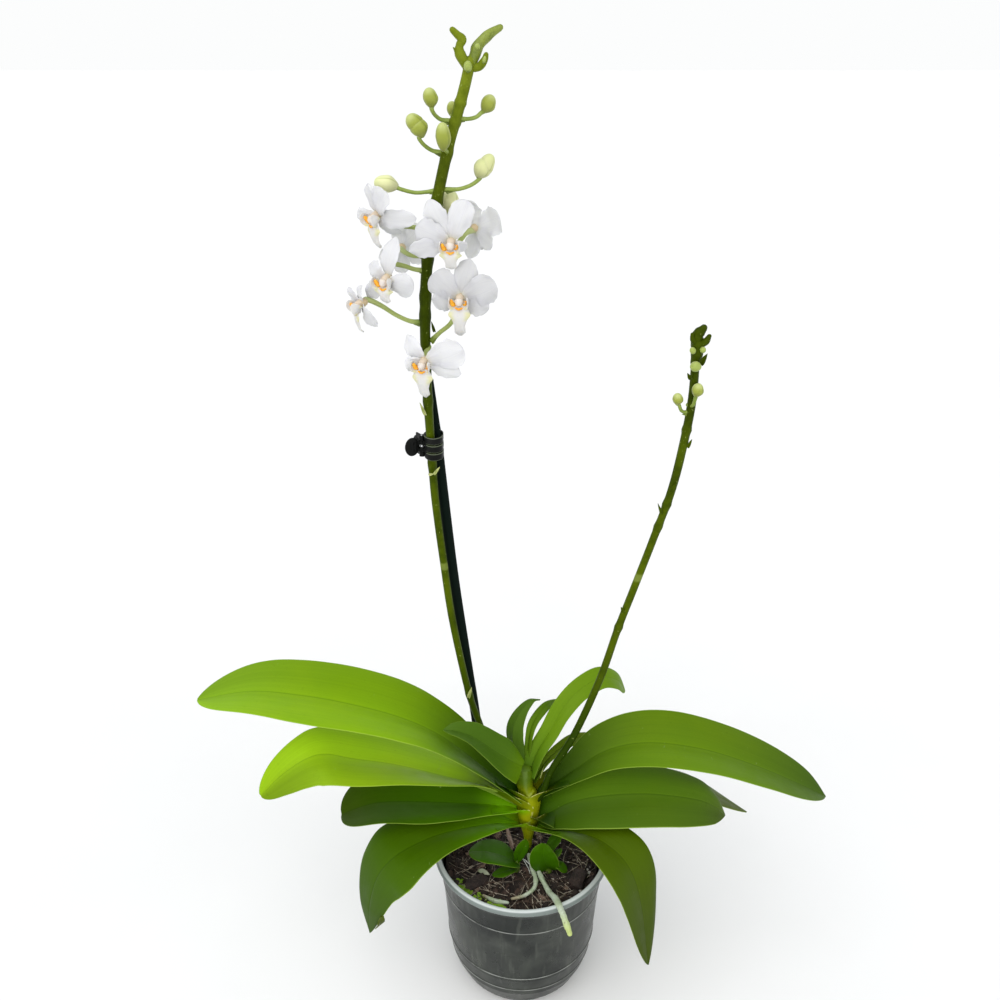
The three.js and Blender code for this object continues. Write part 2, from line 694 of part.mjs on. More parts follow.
// A broken flake of bark: a bevelled five-sided slab lying on the substrate.
function chipGeometry({ at, size, turn }) {
  const [length, width, height] = size;
  const outline = new THREE.Shape([
    new THREE.Vector2(-0.5 * length, -0.2 * width),
    new THREE.Vector2(-0.1 * length, -0.5 * width),
    new THREE.Vector2(0.5 * length, -0.3 * width),
    new THREE.Vector2(0.38 * length, 0.45 * width),
    new THREE.Vector2(-0.35 * length, 0.42 * width),
  ]);
  const bevel = CHIP_BEVEL;
  const slab = new THREE.ExtrudeGeometry(outline, {
    depth: height - 2 * bevel,
    bevelEnabled: true,
    bevelThickness: bevel,
    bevelSize: bevel,
    bevelSegments: 1,
  });
  slab.rotateZ(THREE.MathUtils.degToRad(turn));
  return slab.translate(at[0], at[1], SUBSTRATE_TOP + SEAT_GAP + bevel);
}

// ---------------------------------------------------------------- claw clip

// The clip's own frame has its hinge at x = y = 0 and its underside at z = 0.
const BAND = { middle: [7.1, 0.9], inner: [4.7, 7.1], thickness: 1.3, steps: 9 };
const FINGER_SLOTS = [4.1, 8.9];
const FINGER_SLOT_WIDTH = 1;
const FINGER_START = 4.2;
const TAB = { radius: 3.6, thickness: 1.2, stretch: 1.45, reach: 5.7, neck: [1.2, 6] };
const WEB_REACH = [0.5, 3.4];
const SPRING = { outer: 1.6, inner: 0.9, low: 6.2, high: 7.8 };
const BACK_JAW = { band: [158, 12], web: [0.6, 4.2], knuckles: [[0.5, 3.4], [10.6, 13.5]], tab: 125 };
const FRONT_JAW = { band: [202, 348], web: [-2.8, -0.6], knuckles: [[3.7, 5.9], [8.1, 10.3]], tab: 205 };

// A band of constant thickness round an oval, between two angles in degrees.
function bandGeometry(from, to) {
  const { middle, inner, thickness, steps } = BAND;
  const at = (angle, extra) => {
    const a = THREE.MathUtils.degToRad(angle);
    const x = middle[0] + (inner[0] + extra) * Math.cos(a);
    const y = middle[1] + (inner[1] + extra) * Math.sin(a);
    return new THREE.Vector2(x, y);
  };
  const outside = [];
  const inside = [];
  for (let i = 0; i <= steps; i += 1) {
    const angle = from + ((to - from) * i) / steps;
    outside.push(at(angle, thickness));
    inside.unshift(at(angle, 0));
  }
  const outline = new THREE.Shape([...outside, ...inside]);
  return new THREE.ExtrudeGeometry(outline, { depth: CLIP_HEIGHT, bevelEnabled: false });
}

function blockGeometry([x0, y0, z0], [x1, y1, z1]) {
  const block = new THREE.BoxGeometry(x1 - x0, y1 - y0, z1 - z0);
  return block.translate((x0 + x1) / 2, (y0 + y1) / 2, (z0 + z1) / 2);
}

function ringSolid(outerRadius, innerRadius, low, high) {
  const ring = [
    [innerRadius, low],
    [outerRadius, low],
    [outerRadius, high],
    [innerRadius, high],
    [innerRadius, low],
  ];
  return solidOf(turned(ring, 12));
}

// The thumb tab: a rounded plate, with a short neck to each knuckle.
function tabSolid(direction, knuckles) {
  const plate = new THREE.CylinderGeometry(TAB.radius, TAB.radius, TAB.thickness, 16);
  plate.scale(1, 1, TAB.stretch).translate(TAB.reach, 0, CLIP_HEIGHT / 2);
  const halfThick = TAB.thickness / 2;
  const [start, end] = TAB.neck;
  let tab = solidOf(plate);
  for (const [low, high] of knuckles) {
    tab = tab.add(solidOf(blockGeometry([start, -halfThick, low], [end, halfThick, high])));
  }
  const turn = THREE.MathUtils.degToRad(direction);
  return tab.transform([...new THREE.Matrix4().makeRotationZ(turn).elements]);
}

// One jaw: a band cut into fingers, a web to the hinge, knuckles and a thumb tab.
function jawSolid({ band, web, knuckles, tab }, tools) {
  let jaw = solidOf(bandGeometry(...band));
  const clear = 2 * CLIP_HEIGHT;
  for (const slot of FINGER_SLOTS) {
    const block = blockGeometry([FINGER_START, -clear, slot], [clear, clear, slot + FINGER_SLOT_WIDTH]);
    jaw = jaw.subtract(solidOf(block));
  }
  for (const [low, high] of knuckles) {
    jaw = jaw.add(ringSolid(KNUCKLE_RADIUS, PIN_RADIUS / 2, low, high));
    jaw = jaw.add(solidOf(blockGeometry([WEB_REACH[0], web[0], low], [WEB_REACH[1], web[1], high])));
  }
  jaw = jaw.add(tabSolid(tab, knuckles));
  const bore = new THREE.CylinderGeometry(PIN_HOLE_RADIUS, PIN_HOLE_RADIUS, 2 * clear, 12);
  jaw = jaw.subtract(solidOf(bore.rotateX(Math.PI / 2))).translate([HINGE_X, HINGE_Y, CLIP_Z]);
  return mainBody(cut(jaw, tools));
}

// ---------------------------------------------------------------- putting it together

const stemClear = solidOf(stemGeometry(SEAT_GAP));
const mainClear = solidOf(spikeBar(MAIN_SPIKE, SEAT_GAP));
const secondClear = solidOf(spikeBar(SECOND_SPIKE, SEAT_GAP));
const stakeClear = solidOf(stakeBar(SEAT_GAP));
const stubsClear = Object.values(OFFSETS).map((offset) => solidOf(offsetStub(offset.foot, SEAT_GAP)));

addPiece('pot', makePot(), COLOURS.pot, 0.35);
addPiece('substrate', makeSubstrate([stemClear, stakeClear]), COLOURS.substrate, 0.95);
for (const [name, chip] of Object.entries(CHIPS)) {
  addPiece(name, chipGeometry(chip), COLOURS.bark, 0.9);
}
addPiece('crown_stem', stemGeometry(), COLOURS.stemYellow, 0.5);

for (const [name, leaf] of Object.entries(LEAVES)) {
  const colour = ['leaf_1', 'leaf_2'].includes(name) ? COLOURS.leafBright : COLOURS.leafDark;
  addPiece(name, leafSolid(leaf, [stemClear, mainClear, secondClear]), colour, 0.45);
}

for (const [sideName, offset] of Object.entries(OFFSETS)) {
  addPiece(`offset_${sideName}_stem`, offsetStub(offset.foot), COLOURS.stemYellow, 0.5);
  offset.leaves.forEach((leaf, index) => {
    const solid = leafSolid({ ...OFFSET_LEAF, ...leaf }, [stemClear, ...stubsClear]);
    addPiece(`offset_${sideName}_leaf_${index + 1}`, solid, COLOURS.leafDark, 0.45);
  });
}

addPiece('spike_main', makeMainSpike([stemClear]), COLOURS.spike, 0.5);
addPiece('spike_second', makeSecondSpike([stemClear]), COLOURS.spike, 0.5);
addPiece('stake', stakeBar(), COLOURS.black, 0.5);

for (const [name, flower] of Object.entries(FLOWERS)) {
  addPiece(name, flowerSolid(flower, [mainClear]), COLOURS.flower, 0.6);
}
for (const [name, bud] of Object.entries(BUDS)) {
  addPiece(name, budSolid(bud, [mainClear, secondClear]), COLOURS.bud, 0.5);
}
const { path, radii, steps } = ROOTS.root_1;
const rootClear = solidOf(bentBar(path, radii, 6, steps, SEAT_GAP));
for (const [name, root] of Object.entries(ROOTS)) {
  const tools = name === 'root_1' ? [stemClear] : [stemClear, rootClear];
  addPiece(name, rootSolid(root, tools), COLOURS.root, 0.7);
}

addPiece('clip_back_jaw', jawSolid(BACK_JAW, [mainClear, stakeClear]), COLOURS.black, 0.4);
addPiece('clip_front_jaw', jawSolid(FRONT_JAW, [mainClear, stakeClear]), COLOURS.black, 0.4);
const pin = new THREE.CylinderGeometry(PIN_RADIUS, PIN_RADIUS, CLIP_HEIGHT - 2 * SEAT_GAP, 12);
pin.rotateX(Math.PI / 2).translate(HINGE_X, HINGE_Y, CLIP_Z + CLIP_HEIGHT / 2);
addPiece('clip_pin', pin, COLOURS.steel, 0.3, 1);
const spring = ringSolid(SPRING.outer, SPRING.inner, SPRING.low, SPRING.high);
addPiece('clip_spring', spring.translate([HINGE_X, HINGE_Y, CLIP_Z]), COLOURS.steel, 0.3, 1);

export default part;
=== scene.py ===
"""A potted moth orchid: leaves, flowers, roots, clear pot and stake clip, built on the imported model."""

import functools
import math
import random

import bmesh
import bpy
from mathutils import Matrix, Vector, noise


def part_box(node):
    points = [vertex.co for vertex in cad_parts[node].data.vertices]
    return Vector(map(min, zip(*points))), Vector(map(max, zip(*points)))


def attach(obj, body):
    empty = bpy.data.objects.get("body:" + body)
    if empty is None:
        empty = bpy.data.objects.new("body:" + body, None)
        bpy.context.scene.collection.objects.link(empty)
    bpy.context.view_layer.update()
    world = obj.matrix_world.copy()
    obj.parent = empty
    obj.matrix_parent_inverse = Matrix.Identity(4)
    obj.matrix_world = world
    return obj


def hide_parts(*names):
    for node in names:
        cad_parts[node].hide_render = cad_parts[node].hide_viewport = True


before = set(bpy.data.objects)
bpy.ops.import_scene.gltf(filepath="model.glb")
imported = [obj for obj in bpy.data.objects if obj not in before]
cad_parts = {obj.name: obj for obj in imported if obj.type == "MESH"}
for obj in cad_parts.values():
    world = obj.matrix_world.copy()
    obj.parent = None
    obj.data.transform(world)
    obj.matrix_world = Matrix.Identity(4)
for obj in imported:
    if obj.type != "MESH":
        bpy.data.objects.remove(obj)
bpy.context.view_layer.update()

bl_info = {
    "name": "Potted Orchid",
    "version": (1, 0, 0),
    "blender": (4, 5, 0),
    "location": "View3D > Sidebar > Orchid",
    "description": "Builds a potted moth orchid piece by piece",
    "category": "Add Mesh",
}

MM = 0.001
UP = Vector((0.0, 0.0, 1.0))
FULL_TURN = 2 * math.pi
PLANT = "plant"


def mm_box(node):
    """The lowest and highest corner of a CAD node, in millimetres."""
    low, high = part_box(node)
    return Vector(low) / MM, Vector(high) / MM


POT_HIGH = mm_box("pot")[1]
BED_TOP = mm_box("substrate")[1].z
STEM_LOW, STEM_HIGH = mm_box("crown_stem")
STEM_X = (STEM_LOW.x + STEM_HIGH.x) / 2
STEM_Y = (STEM_LOW.y + STEM_HIGH.y) / 2


# ------------------------------------------------------------------ settings


class PotSettings(bpy.types.PropertyGroup):
    """Sizes and finish of the clear pot."""

    rim_radius: bpy.props.FloatProperty(
        name="Rim radius", description="Outer radius of the rolled rim",
        default=POT_HIGH.x * MM, unit="LENGTH",
    )
    wall: bpy.props.FloatProperty(
        name="Wall", description="Thickness of the moulded wall", default=1.3 * MM, unit="LENGTH"
    )
    rib_height: bpy.props.FloatProperty(
        name="Rib height", description="How far each hoop stands out of the wall",
        default=0.5 * MM, unit="LENGTH",
    )
    plastic: bpy.props.FloatVectorProperty(
        name="Plastic", description="Milky colour of the wall",
        default=(0.021, 0.024, 0.021), size=3, subtype="COLOR",
    )


class BedSettings(bpy.types.PropertyGroup):
    """What lies on top of the bark bed."""

    chips: bpy.props.IntProperty(name="Chips", description="Number of bark chips", default=420, min=0)
    fibres: bpy.props.IntProperty(name="Fibres", description="Number of coir fibres", default=520, min=0)
    crumbs: bpy.props.IntProperty(name="Crumbs", description="Number of pale crumbs", default=46, min=0)
    seed: bpy.props.IntProperty(name="Seed", description="Start of the random scatter", default=11)
    bark: bpy.props.FloatVectorProperty(
        name="Bark", description="Colour of the damp bark",
        default=(0.024, 0.013, 0.008), size=3, subtype="COLOR",
    )


class LeafSettings(bpy.types.PropertyGroup):
    """Thickness and surface of the leaves."""

    thickness: bpy.props.FloatProperty(
        name="Thickness", description="Thickness at the midrib", default=1.9 * MM, unit="LENGTH"
    )
    wave: bpy.props.FloatProperty(
        name="Wave", description="Height of the slow waves in the blade",
        default=0.9 * MM, unit="LENGTH",
    )
    gloss: bpy.props.FloatProperty(
        name="Gloss", description="Strength of the wax coat",
        default=0.02, min=0, max=1, subtype="FACTOR",
    )


class SpikeSettings(bpy.types.PropertyGroup):
    """Colours of the flower spikes."""

    green: bpy.props.FloatVectorProperty(
        name="Green", description="Main green of the spikes",
        default=(0.062, 0.092, 0.0), size=3, subtype="COLOR",
    )
    shade: bpy.props.FloatVectorProperty(
        name="Shade", description="Darker green in blotches",
        default=(0.03, 0.048, 0.0), size=3, subtype="COLOR",
    )


class FlowerSettings(bpy.types.PropertyGroup):
    """Petals and lips of the open flowers."""

    petal_thickness: bpy.props.FloatProperty(
        name="Petal thickness", description="Thickness in the middle of a petal",
        default=0.6 * MM, unit="LENGTH",
    )
    white: bpy.props.FloatVectorProperty(
        name="White", description="Colour of the petals",
        default=(0.58, 0.58, 0.597), size=3, subtype="COLOR",
    )
    throat: bpy.props.FloatVectorProperty(
        name="Throat", description="Orange of the callus",
        default=(0.9, 0.46, 0.02), size=3, subtype="COLOR",
    )


class StageSettings(bpy.types.PropertyGroup):
    """The floor and the light."""

    floor: bpy.props.FloatVectorProperty(
        name="Floor", description="Colour of the floor",
        default=(0.82, 0.815, 0.81), size=3, subtype="COLOR",
    )
    sun: bpy.props.FloatProperty(
        name="Sun", description="Strength of the soft light from above", default=1.1, min=0
    )
    sky: bpy.props.FloatProperty(
        name="Sky", description="Strength of the even light from all around", default=0.75, min=0
    )


# ------------------------------------------------------------------ curves


class Path:
    """A smooth curve through points, followed from 0 to 1."""

    def __init__(self, points):
        self.points = [Vector(p) for p in points]

    def at(self, t):
        points = self.points
        last = len(points) - 1
        place = min(max(t, 0.0), 1.0) * last
        index = min(int(place), last - 1)
        w = place - index
        here, there = points[index], points[index + 1]
        before = points[index - 1] if index else 2 * here - there
        after = points[index + 2] if index + 2 <= last else 2 * there - here
        slope_here = (there - before) / 2
        slope_there = (after - here) / 2
        cubic = 2 * (here - there) + slope_here + slope_there
        square = 3 * (there - here) - 2 * slope_here - slope_there
        return here + slope_here * w + square * w * w + cubic * w**3

    def heading(self, t):
        step = 1e-4
        return (self.at(min(t + step, 1.0)) - self.at(max(t - step, 0.0))).normalized()

    def length(self):
        count = 40
        spots = [self.at(i / count) for i in range(count + 1)]
        return sum((b - a).length for a, b in zip(spots, spots[1:]))


def lerp(a, b, t):
    return a + (b - a) * t


def lerp_list(values, t):
    """The value at t, from 0 to 1, in a list of evenly spaced values."""
    place = min(max(t, 0.0), 1.0) * (len(values) - 1)
    index = min(int(place), len(values) - 2)
    return lerp(values[index], values[index + 1], place - index)


def across(wanted, heading):
    """A unit vector at right angles to heading, as near as it can be to the wanted direction."""
    return (wanted - wanted.dot(heading) * heading).normalized()


def bell(x, width):
    """A bump of height 1 at x = 0."""
    return math.exp(-((x / width) ** 2))


def circle(count):
    """Steps round a full turn: the share of the turn, its angle, and the angle's cosine and sine."""
    for k in range(count):
        angle = FULL_TURN * k / count
        yield k / count, angle, math.cos(angle), math.sin(angle)


# ------------------------------------------------------------------ shapes


class Shape:
    """The points, faces and surface values of one piece, in millimetres."""

    def __init__(self):
        self.points = []
        self.faces = []
        self.places = []
        self.marks = []

    def point(self, position, place=(0.0, 0.0), mark=1.0):
        """Adds a point with its place on the surface (across, along) and its mark, and gives its number."""
        self.points.append(Vector(position))
        self.places.append(place)
        self.marks.append(mark)
        return len(self.points) - 1

    def skin(self, rings):
        """Joins closed rings of the same length with faces."""
        for near, far in zip(rings, rings[1:]):
            for i, start in enumerate(near):
                j = (i + 1) % len(near)
                self.faces.append((start, near[j], far[j], far[i]))

    def loft(self, rings):
        """Joins closed rings with faces, and closes both ends flat."""
        self.skin(rings)
        self.faces += [tuple(rings[0]), tuple(rings[-1])]

    def fan(self, ring, tip):
        """Closes a ring with triangles to one point."""
        for i, start in enumerate(ring):
            self.faces.append((start, ring[(i + 1) % len(ring)], tip))


def make_object(name, shape):
    """Turns a shape into an object in the scene, with its faces all turned outward."""
    mesh = bpy.data.meshes.new(name)
    mesh.from_pydata([p * MM for p in shape.points], [], shape.faces)
    places = mesh.uv_layers.new(name="place")
    for loop in mesh.loops:
        places.data[loop.index].uv = shape.places[loop.vertex_index]
    mark = mesh.attributes.new("mark", "FLOAT", "POINT")
    mark.data.foreach_set("value", shape.marks)
    turned = bmesh.new()
    turned.from_mesh(mesh)
    bmesh.ops.recalc_face_normals(turned, faces=turned.faces)
    turned.to_mesh(mesh)
    turned.free()
    made = bpy.data.objects.new(name, mesh)
    bpy.context.scene.collection.objects.link(made)
    return made


def make_piece(name, shape, material, nodes=(), body=PLANT, sharp=50):
    """Turns a shape into a piece that rides on a body and stands for the CAD nodes named."""
    piece = make_object(name, shape)
    piece.data.shade_smooth()
    piece.data.set_sharp_from_angle(angle=math.radians(sharp))
    piece.data.materials.append(material)
    if nodes:
        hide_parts(*nodes)
    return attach(piece, body)


def half_width(spec, t, front=True):
    """Half width of a blade at t, from its base to its tip. A base of two values is (front, back)."""
    if "widths" in spec:
        return lerp_list(spec["widths"], t)
    base = spec["base"]
    if isinstance(base, tuple):
        base = base[0 if front else 1]
    rise = base + (1 - base) * math.sin(math.pi / 2 * min(t / spec["widest"], 1.0))
    run = max((t - spec["widest"]) / (1 - spec["widest"]), 0.0)
    return spec["half"] * rise * max(1 - run ** spec["round"], 0.0) ** spec["blunt"]


def level_heading(foot, end):
    """The level direction from one place to another."""
    return Vector((end.x - foot.x, end.y - foot.y, 0.0)).normalized()


def blade_axes(spec, path, t):
    """The midrib's place at t, the directions across the blade and out of its upper face, and its fold."""
    wanted = UP.cross(level_heading(path.points[0], path.points[-1]))
    if "side" in spec:
        wanted = Vector(spec["side"])
    tangent = path.heading(t)
    flat_side = across(wanted, tangent)
    roll = math.radians(lerp(*spec["roll"], t))
    side = flat_side * math.cos(roll) + tangent.cross(flat_side) * math.sin(roll)
    fold = math.radians(lerp(*spec["fold"], min(t * 1.5, 1.0)))
    return path.at(t), side, tangent.cross(side), fold


def add_blade(
    shape, spec, thickness, along=48, wide=20, wave=0.0, waves=5.0, crease=0.1, keel=0.0, ruffle=0.0, seed=0.0
):
    """A leaf, petal or sepal: a closed blade along a midrib, folded and rolled about it."""
    path = Path(spec["midrib"])
    rings = []
    for i in range(along):
        t = 1 - (1 - i / along) ** 1.5
        centre, side, normal, fold = blade_axes(spec, path, t)
        halves = []
        for front in (False, True):
            uneven = 1 + ruffle * noise.noise(Vector((t * 9, front, seed)))
            halves.append(half_width(spec, t, front) * uneven)
        top, under = [], []
        for j in range(wide + 1):
            s = math.sin(math.pi / 2 * (2 * j / wide - 1))
            half = halves[s > 0]
            soft = math.sqrt(s * s + crease * crease) - crease
            ripple = noise.noise(Vector((t * waves, s * 1.3, seed)))
            lift = half * (soft * math.sin(fold) - spec.get("curl", 0.1) * s * s)
            lift += wave * ripple * (0.35 + s * s) * min(3 * t, 1.0)
            middle = centre + side * (s * half * math.cos(fold)) + normal * lift
            body = thickness / 2 * (1 - 0.35 * t) * math.sqrt(max(1 - s**4, 0.0))
            place = (0.5 + s / 2, t)
            if j in (0, wide):
                top.append(shape.point(middle, place, 0.5))
                continue
            groove = keel * bell(s, 0.12) * (1 - t)
            top.append(shape.point(middle + normal * (body - groove * 0.6), place, 1.0))
            under.append(shape.point(middle - normal * (body + groove), place, 0.0))
        rings.append(top + under[::-1])
    shape.skin(rings)
    shape.fan(rings[-1], shape.point(path.points[-1], (0.5, 1.0), 1.0))
    shape.faces.append(tuple(rings[0]))


def add_tube(shape, points, radii, sides, steps, lumps=None):
    """A round bar along a smooth curve, with rounded ends. lumps(t, angle) scales its radius."""
    path = Path(points)
    heading = path.heading(0.0)
    side = across(UP if abs(heading.z) < 0.8 else Vector((1.0, 0.0, 0.0)), heading)
    stations = [(i / steps, 0.0, 1.0) for i in range(steps + 1)]
    bend = [math.radians(angle) for angle in (40, 70)]
    ends = [(1.0, math.sin(a), math.cos(a)) for a in bend]
    starts = [(0.0, -math.sin(a), math.cos(a)) for a in reversed(bend)]
    rings = []
    for t, push, shrink in starts + stations + ends:
        heading = path.heading(t)
        side = across(side, heading)
        other = heading.cross(side)
        radius = lerp_list(radii, t)
        centre = path.at(t) + heading * (push * radius)
        ring = []
        for share, angle, cosine, sine in circle(sides):
            r = radius * shrink * (lumps(t, angle) if lumps else 1.0)
            ring.append(shape.point(centre + side * (r * cosine) + other * (r * sine), (share, t)))
        rings.append(ring)
    shape.skin(rings)
    tip = path.at(1.0) + path.heading(1.0) * radii[-1]
    shape.fan(rings[-1], shape.point(tip, (0.5, 1.0)))
    foot = path.at(0.0) - path.heading(0.0) * radii[0]
    shape.fan(rings[0], shape.point(foot, (0.5, 0.0)))


def add_turned(shape, profile, segments, centre=(0.0, 0.0), shift=None):
    """Turns a profile of (radius, height) about a vertical axis. shift(r, z, angle) gives a new radius."""
    rings, axis = [], {}
    for index, (r, z) in enumerate(profile):
        along = index / (len(profile) - 1)
        if r < 1e-6:
            axis[index] = shape.point((centre[0], centre[1], z), (0.5, along))
            rings.append(None)
            continue
        ring = []
        for share, angle, cosine, sine in circle(segments):
            radius = shift(r, z, angle) if shift else r
            spot = (centre[0] + radius * cosine, centre[1] + radius * sine, z)
            ring.append(shape.point(spot, (share, along)))
        rings.append(ring)
    for index in range(len(profile) - 1):
        near, far = rings[index], rings[index + 1]
        if near and far:
            shape.skin([near, far])
        elif near:
            shape.fan(near, axis[index + 1])
        elif far:
            shape.fan(far, axis[index])


def ball_template(levels):
    """The points and faces of a ball of radius 1."""
    ball = bmesh.new()
    bmesh.ops.create_icosphere(ball, subdivisions=levels, radius=1.0)
    points = [v.co.copy() for v in ball.verts]
    faces = [tuple(v.index for v in f.verts) for f in ball.faces]
    ball.free()
    return points, faces


BALLS = {level: ball_template(level) for level in (2, 3)}


def add_lump(shape, centre, size, turn, seed, rough, boxy=0.55, level=2):
    """An uneven lump, such as a bark chip: a ball pulled towards a block, turned and roughened."""
    points, faces = BALLS[level]
    numbers = []
    for p in points:
        block = Vector([math.copysign(abs(c) ** boxy, c) for c in p])
        grain = 1 + rough * noise.noise(p * 1.7 + Vector((seed, 0, 0)))
        fine = 1 + 0.3 * rough * noise.noise(p * 5.0 + Vector((0, seed, 0)))
        spot = turn @ Vector([c * s / 2 * grain * fine for c, s in zip(block, size)])
        numbers.append(shape.point(Vector(centre) + spot, (p.x, p.y)))
    shape.faces += [tuple(numbers[i] for i in face) for face in faces]


# ------------------------------------------------------------------ materials


class Wires:
    """Short ways to add and join the nodes of a material, a node group or the sky."""

    def __init__(self, tree):
        self.tree = tree

    def add(self, kind, inputs=None, **settings):
        node = self.tree.nodes.new(kind)
        for name, value in settings.items():
            setattr(node, name, value)
        for name, value in (inputs or {}).items():
            self.feed(node.inputs[name], value)
        return node

    def feed(self, socket, value):
        """Links a socket or sets its value. A colour is given without its alpha."""
        if isinstance(value, bpy.types.NodeSocket):
            self.tree.links.new(value, socket)
        elif socket.type == "RGBA":
            socket.default_value = (*value, 1.0)
        else:
            socket.default_value = value

    def math(self, operation, a, b=0.0):
        return self.add("ShaderNodeMath", {0: a, 1: b}, operation=operation).outputs[0]

    def times(self, a, b):
        return self.math("MULTIPLY", a, b)

    def plus(self, a, b):
        return self.math("ADD", a, b)

    def distance(self, a, b):
        return self.math("ABSOLUTE", self.math("SUBTRACT", a, b))

    def blend(self, factor, a, b, kind="MIX"):
        node = self.add("ShaderNodeMix", data_type="RGBA", blend_type=kind)
        for number, value in ((0, factor), (6, a), (7, b)):
            self.feed(node.inputs[number], value)
        return node.outputs[2]

    def tint(self, factor, tone, filter_colour):
        """The tone, multiplied by a colour as far as the factor says."""
        return self.blend(factor, tone, self.blend(1.0, tone, filter_colour, "MULTIPLY"))

    def step(self, value, low, high, out_low=0.0, out_high=1.0):
        inputs = {"Value": value, "From Min": low, "From Max": high, "To Min": out_low, "To Max": out_high}
        return self.add("ShaderNodeMapRange", inputs, interpolation_type="SMOOTHSTEP").outputs[0]

    def noise(self, vector, scale, detail=3.0, roughness=0.55):
        inputs = {"Vector": vector, "Scale": scale, "Detail": detail, "Roughness": roughness}
        return self.add("ShaderNodeTexNoise", inputs).outputs[0]

    def speckle(self, scale, detail, low, high, out_low=0.0, out_high=1.0):
        """Noise over the object, sharpened between two levels."""
        return self.step(self.noise(self.object_place(), scale, detail), low, high, out_low, out_high)

    def stretch(self, vector, scale):
        return self.add("ShaderNodeVectorMath", {0: vector, 1: scale}, operation="MULTIPLY").outputs[0]

    def object_place(self):
        return self.add("ShaderNodeTexCoord").outputs["Object"]

    def height(self):
        return self.add("ShaderNodeSeparateXYZ", {0: self.object_place()}).outputs[2]

    def surface_place(self):
        """The place on a blade or tube: across and along it, from 0 to 1."""
        place = self.add("ShaderNodeUVMap", uv_map="place").outputs[0]
        split = self.add("ShaderNodeSeparateXYZ", {0: place})
        return split.outputs[0], split.outputs[1]

    def joined(self, x, y):
        return self.add("ShaderNodeCombineXYZ", {0: x, 1: y}).outputs[0]

    def mark(self):
        return self.add("ShaderNodeAttribute", attribute_name="mark").outputs["Fac"]

    def shared(self, name, **inputs):
        """Places a shared group. Its inputs are named in lower case, as base_reach for Base Reach."""
        node = self.add("ShaderNodeGroup", node_tree=shared_group(name))
        for label, value in inputs.items():
            self.feed(node.inputs[label.replace("_", " ").title()], value)
        return node.outputs


def new_group(name, inputs, outputs):
    """A node group with its inputs and their defaults, and its outputs: its tree, wires and both ends."""
    tree = bpy.data.node_groups.new(name, "ShaderNodeTree")
    for label, default in inputs.items():
        is_value = isinstance(default, float)
        kind = "NodeSocketFloat" if is_value else "NodeSocketColor"
        socket = tree.interface.new_socket(name=label, in_out="INPUT", socket_type=kind)
        socket.default_value = default if is_value else (*default, 1.0)
    for label in outputs:
        kind = "NodeSocketColor" if label == "Color" else "NodeSocketFloat"
        tree.interface.new_socket(name=label, in_out="OUTPUT", socket_type=kind)
    wires = Wires(tree)
    return tree, wires, wires.add("NodeGroupInput").outputs, wires.add("NodeGroupOutput").inputs


def mottle_group():
    """Two tones in soft blotches with finer flecks."""
    inputs = {"Light": (0.5, 0.5, 0.5), "Dark": (0.2, 0.2, 0.2), "Scale": 60.0, "Fleck": 0.3}
    tree, wires, given, result = new_group("Mottled Tone", inputs, ["Color", "Mask"])
    broad = wires.speckle(given["Scale"], 4.0, 0.3, 0.7)
    fine = wires.speckle(wires.times(given["Scale"], 7.0), 2.0, 0.35, 0.7, -0.5, 0.5)
    flecked = wires.plus(broad, wires.times(fine, given["Fleck"]))
    wires.feed(result["Color"], wires.blend(flecked, given["Light"], given["Dark"]))
    wires.feed(result["Mask"], flecked)
    return tree


def grain_group():
    """Long grain, as in bark, coir or a dry stalk. Its lines run along the stretch direction."""
    inputs = {"Scale": 300.0, "Length": 0.2, "Depth": 1.0}
    tree, wires, given, result = new_group("Long Grain", inputs, ["Mask", "Height"])
    u, v = wires.surface_place()
    along = wires.joined(u, wires.times(v, given["Length"]))
    fold = wires.add("ShaderNodeVectorMath", {0: along, 1: wires.object_place()}, operation="ADD").outputs[0]
    streaks = wires.noise(fold, given["Scale"], 4.0, 0.65)
    wires.feed(result["Mask"], wires.step(streaks, 0.35, 0.65))
    wires.feed(result["Height"], wires.times(streaks, given["Depth"]))
    return tree


